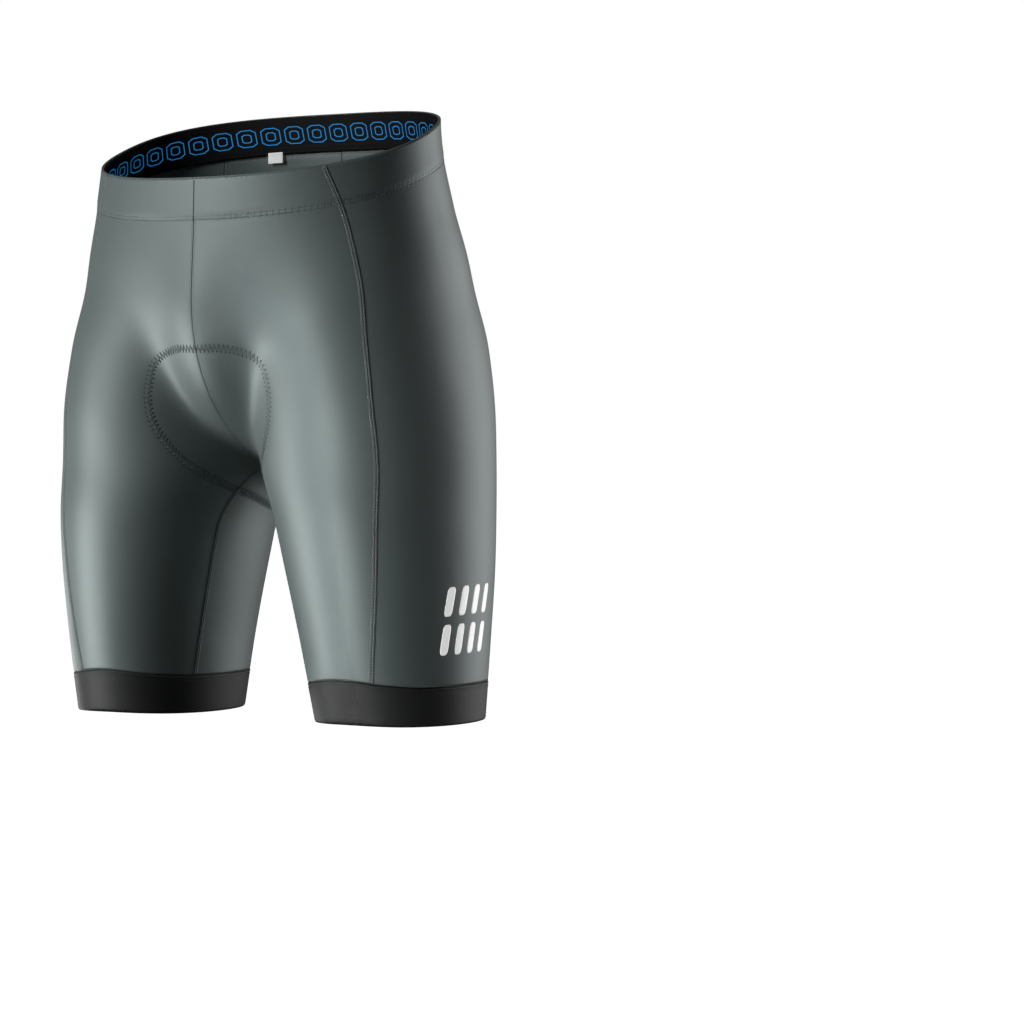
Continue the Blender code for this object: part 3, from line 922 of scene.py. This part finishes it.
def stitch_row(line, lift, across=0.0, pit_shades=False):
    """Stitches laid end to end along a line on the form, or the dark pieces of painted shade between them at
    the needle holes.
    """
    sizes = bpy.context.scene.shorts_sizes
    points, heading = along_line(line, sizes.stitch_pitch, 1.0 if pit_shades else 0.5)
    normal = outward(points)
    points = points + np.cross(normal, heading) * across + normal * lift
    half = heading * (sizes.pit_length if pit_shades else sizes.stitch_length) / 2
    return list(zip(points - half, points + half, normal))


def stitch_rows(line, lift, across, pit_shades=False):
    """Two rows of stitches or of painted-shade pieces, one on each side of a line."""
    return stitch_row(line, lift, -across, pit_shades) + stitch_row(line, lift, across, pit_shades)


def stitches_on_side(stitches, side):
    return [tuple(on_side(point, side) for point in stitch) for stitch in stitches]


def row_below(drop):
    """The row that lies this far below the end of the panels."""
    return 2 + drop / (CROTCH - PANEL_END)


def seam_path(name, first_row, last_row, count):
    """The line of a seam on the left half."""
    rows = np.linspace(first_row, last_row, count)
    return cloth_points(rows, np.interp(rows, ROWS, SEAM_LINES[name]))


def seam_rise(name, first_row, last_row, count):
    """How far the cloth stands out along a seam."""
    rows = np.linspace(first_row, last_row, count)
    share = np.interp(rows, ROWS, SEAM_LINES[name])
    return relief(cloth_points(rows, share)[None], rows[None], share[None])[0]


def seam_strip(name, line, width, height, material, rise=0.0):
    """A low rounded band laid along a line on the form, with its edges sunk into the cloth under it."""
    side = unit(np.cross(outward(line), unit(np.gradient(line, axis=0))))
    across = np.linspace(-1, 1, 13)
    profile = height * np.clip(1 - np.abs(across) ** 4, 0, 1) - 0.0003 * np.abs(across) ** 8
    profile -= height * 0.45 * np.exp(-((across / 0.16) ** 2))
    points = line[:, None] + side[:, None] * (across * width / 2)[None, :, None]
    flat = onto_form(points.reshape(-1, 3), 2)
    out = outward(flat).reshape(points.shape)
    points = flat.reshape(points.shape) + out * (profile[None, :] + np.reshape(rise, (-1, 1)))[..., None]
    tags = cloth_tags((across * width / 2)[None, :], lengths(line)[:, None])
    piece = mapped_sheet(name, points, tags, material, STRIP_WALL, facing=out)
    return piece


# name, seam at its front, seam at its back, columns of faces
PANELS = (
    ("front", "centre_front", "front", 62),
    ("side", "front", "back", 90),
    ("back", "back", "centre_back", 62),
)
PANEL_ROWS = 210
FIRST_SEAM_ROW = 0.004
LAST_SEAM_ROW = 1.996
FIRST_INSEAM_ROW = 1.01
# Where thread and the painted-shade pieces at the needle dints lie on a raised seam, as shares of its width
# and height
STITCH_ACROSS = 0.30
INSEAM_WIDTH = 0.9
THREAD_LIFT = 0.75
PIT_LIFT = 0.55


def wide_and_long(first, last, count=60):
    """The flat size of a panel: its widest row and its longest line."""
    down = np.linspace(0, 2, count)
    start, end = np.interp(down, ROWS, first), np.interp(down, ROWS, last)
    width = (end - start) * np.interp(down, ROWS, GIRTHS)
    lines = ((start + end) / 2, start, end)
    return float(width.max()), max(float(lengths(cloth_points(down, line))[-1]) for line in lines)


def cloth_area(piece):
    return sum(polygon.area for polygon in piece.data.polygons)


def declare_sheet(piece, width, length, with_pieces=()):
    """Works out the area of a sheet from its mesh, at most its flat width times its length."""
    area = min(cloth_area(piece), width * length)


class SHORTS_OT_panels(bpy.types.Operator):
    """Build the six cloth panels with their raised seams and stitching"""

    bl_idname = "shorts.panels"
    bl_label = "Panels and seams"

    def execute(self, context):
        knit = knit_material()
        finishes = seam_material(), thread_material(), pit_shade_material()
        for word, side in SIDES:
            trims = {name: self.panel_seam(name, word, side, *finishes) for name in ("front", "back")}
            trims["front"] += self.inseam(word, side, *finishes[:2])
            for name, first, last, columns in PANELS:
                lines = SEAM_LINES[first], SEAM_LINES[last]
                piece = panel_sheet(f"cloth_{name}_{word}", *lines, PANEL_ROWS, columns, side, knit)
                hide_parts(f"{name}_{word}")
                declare_sheet(piece, *wide_and_long(*lines), trims.get(name, []))
        return {"FINISHED"}

    def panel_seam(self, name, word, side, seam, thread, pit_shade):
        """The raised seam at the front or the back of a side panel, with its stitches and pieces of painted
        shade at the needle holes.
        """
        sizes = bpy.context.scene.shorts_sizes
        rows = (FIRST_SEAM_ROW, LAST_SEAM_ROW, 260)
        rise = seam_rise(name, *rows)
        line = seam_path(name, *rows)
        line = line + outward(line) * rise[:, None]
        width, height = sizes.seam_width, sizes.seam_height
        across = width * STITCH_ACROSS
        strip = seam_strip(f"seam_{name}_{word}", on_side(line, side), width, height, seam, rise)
        dint_shades = stitches_on_side(stitch_rows(line, height * PIT_LIFT, across, pit_shades=True), side)
        pit_shades = thread_pieces(f"pits_{name}_{word}", dint_shades, pit_shade, sizes.pit_width)
        laid = stitches_on_side(stitch_rows(line, height * THREAD_LIFT, across), side)
        return [strip, thread_pieces(f"stitches_{name}_{word}", laid, thread, sizes.thread), pit_shades]

    def inseam(self, word, side, seam, thread):
        """The raised inseam of one leg, with its stitches."""
        sizes = bpy.context.scene.shorts_sizes
        line = seam_path("centre_front", FIRST_INSEAM_ROW, LAST_SEAM_ROW, 150)
        width, height = sizes.seam_width * INSEAM_WIDTH, sizes.seam_height
        strip = seam_strip(f"inseam_{word}", on_side(line, side), width, height, seam)
        laid = stitches_on_side(stitch_rows(line, height * THREAD_LIFT, width * STITCH_ACROSS), side)
        return [strip, thread_pieces(f"stitches_inseam_{word}", laid, thread, sizes.thread)]


class SHORTS_OT_stitching(bpy.types.Operator):
    """Build the centre seams, the waist and band stitching and the zigzag round the pad"""

    bl_idname = "shorts.stitching"
    bl_label = "Stitching"

    CENTRE_SEAMS = (("centre_front", 0.0), ("centre_back", 1.0))
    CENTRE_ACROSS = 0.0016
    BAND_LINES = (0.0022, 0.0046)
    LIFT = 0.0002

    def execute(self, context):
        sizes = context.scene.shorts_sizes
        thread = thread_material()
        for name, share in self.CENTRE_SEAMS:
            rows = np.linspace(FIRST_SEAM_ROW, 0.995, 170)
            line = cloth_points(rows, np.full(len(rows), share))
            line[:, 0] = 0
            laid = stitch_rows(line, self.LIFT, self.CENTRE_ACROSS)
            thread_pieces(f"stitches_{name}", laid, thread, sizes.thread * 0.8)
        stitches = []
        for depth in WAIST_LINES:
            laid = stitch_row(waist_line(np.linspace(0, 1, 90), depth), self.LIFT)
            stitches += laid + stitches_on_side(laid, -1)
        thread_pieces("stitches_waist", stitches, thread, sizes.thread)
        self.zigzag(sizes, thread)
        black = gripper_material()
        share = np.linspace(0, 1, 120)
        for word, side in SIDES:
            lines = [cloth_points(np.full(len(share), row_below(drop)), share) for drop in self.BAND_LINES]
            laid = [stitch for line in lines for stitch in stitch_row(line, 2 * self.LIFT)]
            thread_pieces(f"stitches_band_{word}", stitches_on_side(laid, side), black, sizes.thread * 1.1)
        return {"FINISHED"}

    def zigzag(self, sizes, thread):
        """The zigzag that holds the pad, and pieces of painted shade at the needle holes at its corners."""
        count = int(lengths(PAD_LINE)[-1] / sizes.zigzag_pitch) * 2
        points = evenly(PAD_LINE, count + 1)
        heading = unit(np.gradient(points, axis=0))
        side = np.cross(outward(points), heading)
        swing = np.where(np.arange(count + 1) % 2, 1, -1)[:, None]
        corner = onto_form(points + side * swing * sizes.zigzag_width / 2, 2)
        normal = outward(corner)
        laid = corner + normal * 0.0001
        thread_pieces("stitches_pad", zip(laid[:-1], laid[1:], normal[:-1]), thread, sizes.thread * 1.3)
        half = (heading + side * swing) * sizes.pit_length * 0.45
        thread_pieces("pit_shades_pad", zip(corner - half, corner + half, normal), pit_shade_material(), sizes.pit_width)


class SHORTS_OT_bands(bpy.types.Operator):
    """Build the gripper bands at the leg ends"""

    bl_idname = "shorts.bands"
    bl_label = "Leg bands"

    WALL = 0.0017
    ALLOWANCE_DEPTH = 0.0024

    def execute(self, context):
        black = gripper_material()
        knit = knit_material()
        fall = np.linspace(BAND_GAP, BAND_WIDTH, 27)
        across, points, normals = self.ring(fall)
        edge = np.minimum(fall - fall[0], fall[-1] - fall)
        lift = 0.0005 * smooth(edge, 0, 0.0012) - 0.0003 * np.exp(-(((fall - 0.0034) / 0.0008) ** 2))
        points = points + normals * (lift - 0.0002)[:, None, None]
        # A strip of cloth inside spans the join, as the seam allowance does, and keeps light out
        drop = np.linspace(-0.005, 0.005, 5)
        _, inside, out = self.ring(drop)
        inside = inside - out * self.ALLOWANCE_DEPTH
        for word, side in SIDES:
            tags = cloth_tags(across, fall[:, None])
            facing = on_side(normals, side)
            piece = mapped_sheet(f"band_{word}", on_side(points, side), tags, black, self.WALL, True, facing)
            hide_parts(f"hem_{word}")
            tags = cloth_tags(across[:1], row_below(drop)[:, None], 1.0)
            points_inside, facing = on_side(inside, side), on_side(out, side)
            strip = mapped_sheet(f"allowance_{word}", points_inside, tags, knit, STRIP_WALL, True, facing)
            declare_sheet(piece, cloth_area(piece) / BAND_WIDTH, BAND_WIDTH)
        return {"FINISHED"}

    def ring(self, fall):
        """Metres round the left leg, points and directions out, at these distances below the panels."""
        row, share = np.meshgrid(row_below(fall), np.linspace(0, 1, 181), indexing="ij")
        points = cloth_points(row, share)
        points[:, -1] = points[:, 0]
        return share * GIRTHS[np.searchsorted(ROWS, 2.0)], points, outward(points)


class SHORTS_OT_waist(bpy.types.Operator):
    """Build the waist elastic, the turned edge of the cloth over it and the blank label"""

    bl_idname = "shorts.waist"
    bl_label = "Waist"

    DOWN = 0.0005
    WIDTH = 0.0305
    WALL = 0.0013
    LABEL_WIDTH = 0.013
    LABEL_FALL = (-0.002, 0.0068)
    TAPE = 0.0006

    def ring(self, depths, count=97):
        """Points at these depths all round the waist, in a closed loop."""
        share = np.linspace(0, 1, count)
        left = np.stack([waist_line(share, depth) for depth in depths])
        return np.concatenate([left, mirrored(left[:, ::-1])[:, 1:]], axis=1)

    def execute(self, context):
        depths = self.DOWN + self.WIDTH * np.linspace(0, 1, 21)
        points = self.ring(depths)
        points[:, -1] = points[:, 0]
        normals = outward(points)
        edge = np.minimum(depths - depths[0], depths[-1] - depths)
        rounding = 0.0003 * np.cos(edge / 0.0022 * math.pi).clip(0, 1)
        inner = points - normals * (CLOTH + LAYER_GAP + self.WALL + rounding)[:, None, None]
        around = lengths(points[10])
        tags = cloth_tags(around[None, :], (depths - self.DOWN)[:, None])
        elastic = mapped_sheet("waist_band", inner, tags, elastic_material(), self.WALL, True, -normals)
        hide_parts("waist_elastic")
        declare_sheet(elastic, float(around[-1]), self.WIDTH)
        self.turned_edge(points[0])
        self.label()
        return {"FINISHED"}

    def turned_edge(self, near):
        """The rounded fold of cloth along the top edge."""
        rim = self.ring([0.0])[0]
        rim[-1] = rim[0]
        normal = outward(rim)
        below = unit(near - rim)
        wide = (CLOTH + 0.0004) / 2
        middle = rim - normal * (wide - 0.0003)
        turn = np.linspace(0, math.pi, 11)
        over = middle[None] + normal[None] * (np.cos(turn) * (wide + 0.0003))[:, None, None]
        over = over - below[None] * (np.sin(turn) * 0.0007)[:, None, None]
        skirt_out = over[:1] + below[None] * 0.0025
        skirt_in = over[-1:] + below[None] * 0.0004
        points = np.concatenate([skirt_out, over, skirt_in])
        turn = np.concatenate([turn[:1], turn, turn[-1:]])[:, None, None]
        out = normal[None] * np.cos(turn) - below[None] * np.sin(turn)
        tags = cloth_tags(lengths(rim)[None, :], np.linspace(0, 0.008, len(points))[:, None])
        piece = mapped_sheet("turned_edge", points, tags, knit_material(), 0.0004, True, out)

    def label(self):
        """A folded loop of blank tape that hangs from the lower edge of the elastic."""
        low, high = (Vector(corner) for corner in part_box("size_label"))
        middle = (low + high) / 2
        share = np.linspace(0, 1, 400)
        line = mirrored(waist_line(share, self.DOWN + self.WIDTH))
        near = share[np.argmin(np.abs(line[:, 0] - middle.x) + (line[:, 1] < 0))]
        across = np.linspace(-0.5, 0.5, 15) * self.LABEL_WIDTH
        fall = np.linspace(*self.LABEL_FALL, 13)
        share = near + across / GIRTHS[0]
        points = np.stack([mirrored(waist_line(share, self.DOWN + self.WIDTH + f)) for f in fall])
        normals = outward(points)
        start = CLOTH + 2 * LAYER_GAP + self.WALL + self.TAPE
        bowed = 0.0003 * np.cos(across / self.LABEL_WIDTH * math.pi)[None, :]
        away = 0.0006 * smooth(fall, 0.001, self.LABEL_FALL[1])[:, None] + bowed
        points = points - normals * (start + away)[..., None]
        tags = cloth_tags(across[None, :], fall[:, None])
        piece = mapped_sheet("label_tape", points, tags, label_material(), self.TAPE, facing=-normals)
        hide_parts("size_label")


# The relief of the pad. length runs down its middle line and out is the distance from that line.
BLOCKS = (
    # length, out, half length, half width, square, lean, height
    (0.0980, 0.000, 0.0260, 0.0300, 3.0, 0.00, 0.0030),
    (0.1500, 0.0140, 0.0240, 0.0075, 4.0, -0.04, 0.0034),
    (0.1990, 0.0230, 0.0220, 0.0150, 3.2, -0.28, 0.0046),
    (0.2520, 0.0410, 0.0270, 0.0270, 2.6, -0.20, 0.0052),
)
SLOTS = (
    # start, end, out at start, out at end, half width, depth
    (0.0120, 0.0520, 0.000, 0.000, 0.0022, 0.0026),
    (0.0160, 0.0540, 0.020, 0.017, 0.0022, 0.0026),
    (0.0240, 0.0560, 0.040, 0.035, 0.0022, 0.0026),
    (0.1260, 0.2250, 0.000, 0.000, 0.0024, 0.0016),
)
GROOVES = (
    # length, half length, half width, width, depth
    (0.0400, 0.0340, 0.0540, 0.0016, 0.0012),
    (0.0900, 0.0420, 0.0420, 0.0016, 0.0010),
    (0.2950, 0.0480, 0.0160, 0.0018, 0.0012),
)
BASE = 0.0030
RIM = 0.0012
THINNEST = 0.0008
DEEPEST = 0.0026
WAVE = 0.0125
FAN_END = 0.1


class SHORTS_OT_pad(bpy.types.Operator):
    """Build the moulded seat pad"""

    bl_idname = "shorts.pad"
    bl_label = "Seat pad"

    ROWS = 200
    HALF = 54

    def height(self, length, out, share):
        """How thick the pad is and how deep in a slot each point is, from the tables."""
        thick = BASE - 0.0004 * smooth(length, 0.12, 0.16)
        for middle, away, half_long, half_wide, square, lean, high in BLOCKS:
            along = length - middle
            across = np.abs(out) - away - lean * along if away else out
            parts = (along / half_long, across / half_wide)
            reach = sum(np.abs(part) ** square for part in parts) ** (1 / square)
            crown = 0.85 + 0.15 * (1 - np.clip(reach, 0, 1) ** 2)
            thick = thick + high * (1 - smooth(reach, 0.78, 1.02)) * crown
        deep = np.zeros(length.shape)
        for start, end, out_start, out_end, half, depth in SLOTS:
            t = np.clip((length - start) / (end - start), 0, 1)
            wavy = 0.0007 * np.sin(length / WAVE * 2 * math.pi)
            if out_start:
                across = np.abs(out) - (out_start + (out_end - out_start) * t) - wavy
            else:
                across = out - wavy * (end < FAN_END)
            past = np.maximum(np.maximum(start - length, length - end), 0)
            wide = half * (1 + 0.25 * np.sin(length / WAVE * 4 * math.pi))
            away = np.sqrt(across**2 + past**2)
            deep = np.maximum(deep, depth * (1 - smooth(away, wide * 0.55, wide * 1.35)))
        for middle, half_long, half_wide, wide, depth in GROOVES:
            reach = np.sqrt(((length - middle) / half_long) ** 2 + (out / half_wide) ** 2)
            gap = np.abs(reach - 1) * min(half_long, half_wide)
            deep = np.maximum(deep, depth * np.exp(-((gap / wide) ** 2)))
        edge = (1 - share) * 0.05
        ends = np.minimum(length, PAD_LENGTH - length)
        rim = smooth(np.minimum(edge, ends * 1.4), 0.0005, 0.0075)
        return np.maximum(RIM + (thick - deep - RIM) * rim, THINNEST), deep * rim

    def execute(self, context):
        steps = self.HALF
        half = pad_grid(self.ROWS, steps)
        grid = np.concatenate([mirrored(half[:, :0:-1]), half], axis=1)
        share = np.linspace(-1, 1, 2 * steps + 1)[None, :]
        length = np.linspace(0, PAD_LENGTH, self.ROWS + 1)[:, None]
        out = share * pad_half_width(length.ravel())[:, None]
        length = np.broadcast_to(length, out.shape)
        thick, deep = self.height(length, out, np.abs(share))
        normals = outward(grid)
        start = CLOTH + PAD_GAP
        top = grid - normals * (start + thick)[..., None]
        bottom = grid - normals * start
        # The third cloth value, how deep a slot or groove is, darkens the foam as painted shade
        piece = self.solid(top, bottom, cloth_tags(out, length, deep / DEEPEST))
        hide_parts("pad")
        return {"FINISHED"}

    def solid(self, top, bottom, tags):
        """The pad as one closed body: a grid for each face, joined round the rim."""
        bm = bmesh.new()
        rows, columns = top.shape[:2]
        layer = bm.verts.layers.float_vector.new("cloth")
        edges = []
        for points in (top, bottom):
            made = bmesh.ops.create_grid(bm, x_segments=columns - 1, y_segments=rows - 1, size=0.5)["verts"]
            for vertex in made:
                i = round((0.5 - vertex.co.y) * (rows - 1))
                j = round((vertex.co.x + 0.5) * (columns - 1))
                vertex.co = points[i, j]
                vertex[layer] = tags[i, j]
            edges += list({edge for vertex in made for edge in vertex.link_edges if edge.is_boundary})
        bmesh.ops.bridge_loops(bm, edges=edges)
        bmesh.ops.recalc_face_normals(bm, faces=bm.faces)
        return finish_piece("seat_pad", bm, foam_material())


class SHORTS_OT_mark(bpy.types.Operator):
    """Build the plain reflective mark on the outer thigh"""

    bl_idname = "shorts.mark"
    bl_label = "Thigh mark"

    ROWS = ((1.640, 1.745), (1.775, 1.885))
    FIRST = 0.378
    STEP = 0.0325
    COUNT = 4
    WIDTH = 0.0170
    LEAN = -0.012

    def execute(self, context):
        material = mark_material()
        for line, (top, bottom) in enumerate(self.ROWS):
            for k in range(self.COUNT):
                start = self.FIRST + k * self.STEP
                self.bar(f"thigh_mark_{line + 1}_{k + 1}", top, bottom, start, line, material)
        return {"FINISHED"}

    def bar(self, name, top, bottom, start, line, material):
        """One slanted bar with rounded corners, 0.2 mm above the cloth."""
        fall = np.linspace(0, 1, 25)
        across = np.linspace(-1, 1, 11)
        narrow = (1 - np.abs(2 * fall - 1) ** 8 * 0.5)[:, None]
        share = start + self.WIDTH / 2 * across[None, :] * narrow + self.LEAN * (fall[:, None] + line)
        row = np.broadcast_to((top + (bottom - top) * fall)[:, None], share.shape)
        points = cloth_points(row, share)
        normals = outward(points)
        rim = smooth(1 - np.abs(across), 0, 0.2)[None, :] * smooth(0.5 - np.abs(fall - 0.5), 0, 0.05)[:, None]
        points = points + normals * (0.0001 + 0.00015 * rim)[..., None]
        tags = cloth_tags(across[None, :] * 0.004, fall[:, None] * 0.02)
        piece = mapped_sheet(name, points, tags, material, 0.0001, facing=normals)


# The camera. The focal length and the place of the object's axis are in pixels of the picture.
FOCAL_PIXELS = 3271.0
FRAME_PIXELS = 1024
AXIS_PIXEL = (273.0, 415.0)
CAMERA_AZIMUTH = math.radians(34)
CAMERA_DISTANCE = 2.69
CAMERA_HEIGHT = -0.220


class SHORTS_OT_stage(bpy.types.Operator):
    """Set the pale floor, the soft studio lights and the camera"""

    bl_idname = "shorts.stage"
    bl_label = "Stage"

    # Each light stands at an azimuth, elevation and distance from the point that it is aimed at
    LIGHTS = (
        # name, azimuth, elevation, distance, width, height, power, aim across, aim height, spread
        ("upper_front", -26, 28, 1.4, 0.30, 0.70, 12.0, 0.00, -0.22, 180),
        ("low_left", -52, -22, 1.2, 0.40, 0.80, 15.0, 0.00, -0.22, 180),
        ("rim_left", -112, -20, 1.4, 0.40, 0.80, 5.0, 0.00, -0.30, 180),
        ("rim_right", 151, 3, 1.6, 0.80, 1.40, 14.5, 0.00, -0.22, 180),
        ("thigh", -9, -12, 1.1, 0.15, 0.60, 0.25, 0.17, -0.36, 17),
    )

    def execute(self, context):
        scene = context.scene
        scene.view_settings.view_transform = "Standard"
        self.floor()
        self.lights()
        self.world(scene)
        self.camera(scene)
        return {"FINISHED"}

    def floor(self):
        bm = bmesh.new()
        bmesh.ops.create_circle(bm, cap_ends=True, segments=64, radius=14.0)
        mesh = bpy.data.meshes.new("floor")
        bmesh.ops.translate(bm, verts=bm.verts, vec=(0, 0, -0.80))
        bm.to_mesh(mesh)
        bm.free()
        nodes = Nodes("floor_white")
        fine = nodes.noise(nodes.where(), 4.0)
        nodes.set(Base_Color=nodes.mix(fine, (0.86, 0.86, 0.86, 1), (0.9, 0.9, 0.9, 1)), Roughness=0.9)
        nodes.set(Emission_Color=(1.0, 1.0, 1.0, 1.0), Emission_Strength=1.0)
        mesh.materials.append(nodes.material)
        floor = bpy.data.objects.new("floor", mesh)
        floor.visible_diffuse = False
        floor.visible_glossy = False
        bpy.context.scene.collection.objects.link(floor)

    def lights(self):
        for name, azimuth, elevation, distance, width, height, power, aim_x, aim_z, spread in self.LIGHTS:
            light = bpy.data.lights.new(name, "AREA")
            light.shape = "RECTANGLE"
            light.size, light.size_y = width, height
            light.energy = power
            light.spread = math.radians(spread)
            lamp = bpy.data.objects.new(name, light)
            turn, rise = math.radians(azimuth), math.radians(elevation)
            level = math.cos(rise)
            place = Vector((math.sin(turn) * level, -math.cos(turn) * level, math.sin(rise)))
            lamp.location = Vector((aim_x, 0, aim_z)) + place * distance
            lamp.rotation_euler = (-place).to_track_quat("-Z", "Y").to_euler()
            bpy.context.scene.collection.objects.link(lamp)

    def world(self, scene):
        """A white backdrop to the camera, and a dim even light on the cloth."""
        world = bpy.data.worlds.new("studio")
        world.use_nodes = True
        nodes = world.node_tree
        light_path = nodes.nodes.new("ShaderNodeLightPath")
        low, high = nodes.nodes["Background"], nodes.nodes.new("ShaderNodeBackground")
        low.inputs["Color"].default_value = (1, 1, 1, 1)
        low.inputs["Strength"].default_value = 0.05
        high.inputs["Color"].default_value = (1, 1, 1, 1)
        high.inputs["Strength"].default_value = 1.0
        mix = nodes.nodes.new("ShaderNodeMixShader")
        nodes.links.new(light_path.outputs["Is Camera Ray"], mix.inputs[0])
        nodes.links.new(low.outputs[0], mix.inputs[1])
        nodes.links.new(high.outputs[0], mix.inputs[2])
        nodes.links.new(mix.outputs[0], nodes.nodes["World Output"].inputs["Surface"])
        scene.world = world

    def camera(self, scene):
        data = bpy.data.cameras.new("camera")
        data.sensor_width = 36.0
        data.lens = FOCAL_PIXELS / FRAME_PIXELS * data.sensor_width
        data.clip_end = 60
        camera = bpy.data.objects.new("camera", data)
        place = Vector((math.sin(CAMERA_AZIMUTH), -math.cos(CAMERA_AZIMUTH), 0)) * CAMERA_DISTANCE
        camera.location = place + Vector((0, 0, CAMERA_HEIGHT))
        turn = math.atan((FRAME_PIXELS / 2 - AXIS_PIXEL[0]) / FOCAL_PIXELS)
        tilt = math.atan((FRAME_PIXELS / 2 - AXIS_PIXEL[1]) / FOCAL_PIXELS)
        camera.rotation_euler = (math.pi / 2 - tilt, 0, CAMERA_AZIMUTH - turn)
        scene.collection.objects.link(camera)
        scene.camera = camera


OPERATORS = (
    SHORTS_OT_panels,
    SHORTS_OT_stitching,
    SHORTS_OT_bands,
    SHORTS_OT_waist,
    SHORTS_OT_pad,
    SHORTS_OT_mark,
    SHORTS_OT_stage,
)


class SHORTS_PT_panel(bpy.types.Panel):
    """Lists the sizes, the colours and the steps"""

    bl_idname = "SHORTS_PT_panel"
    bl_label = "Cycling shorts"
    bl_space_type = "VIEW_3D"
    bl_region_type = "UI"
    bl_category = "Shorts"

    def draw(self, context):
        for group in (context.scene.shorts_sizes, context.scene.shorts_colours):
            for name in group.__annotations__:
                self.layout.prop(group, name)
        for operator in OPERATORS:
            self.layout.operator(operator.bl_idname)


CLASSES = (ShortsSizes, ShortsColours, *OPERATORS, SHORTS_PT_panel)


def register():
    for item in CLASSES:
        bpy.utils.register_class(item)
    bpy.types.Scene.shorts_sizes = PointerProperty(type=ShortsSizes)
    bpy.types.Scene.shorts_colours = PointerProperty(type=ShortsColours)


def unregister():
    del bpy.types.Scene.shorts_sizes
    del bpy.types.Scene.shorts_colours
    for item in reversed(CLASSES):
        bpy.utils.unregister_class(item)


def main():
    register()
    bpy.ops.shorts.panels()
    bpy.ops.shorts.stitching()
    bpy.ops.shorts.bands()
    bpy.ops.shorts.waist()
    bpy.ops.shorts.pad()
    bpy.ops.shorts.mark()
    bpy.ops.shorts.stage()


if __name__ == "__main__":
    main()
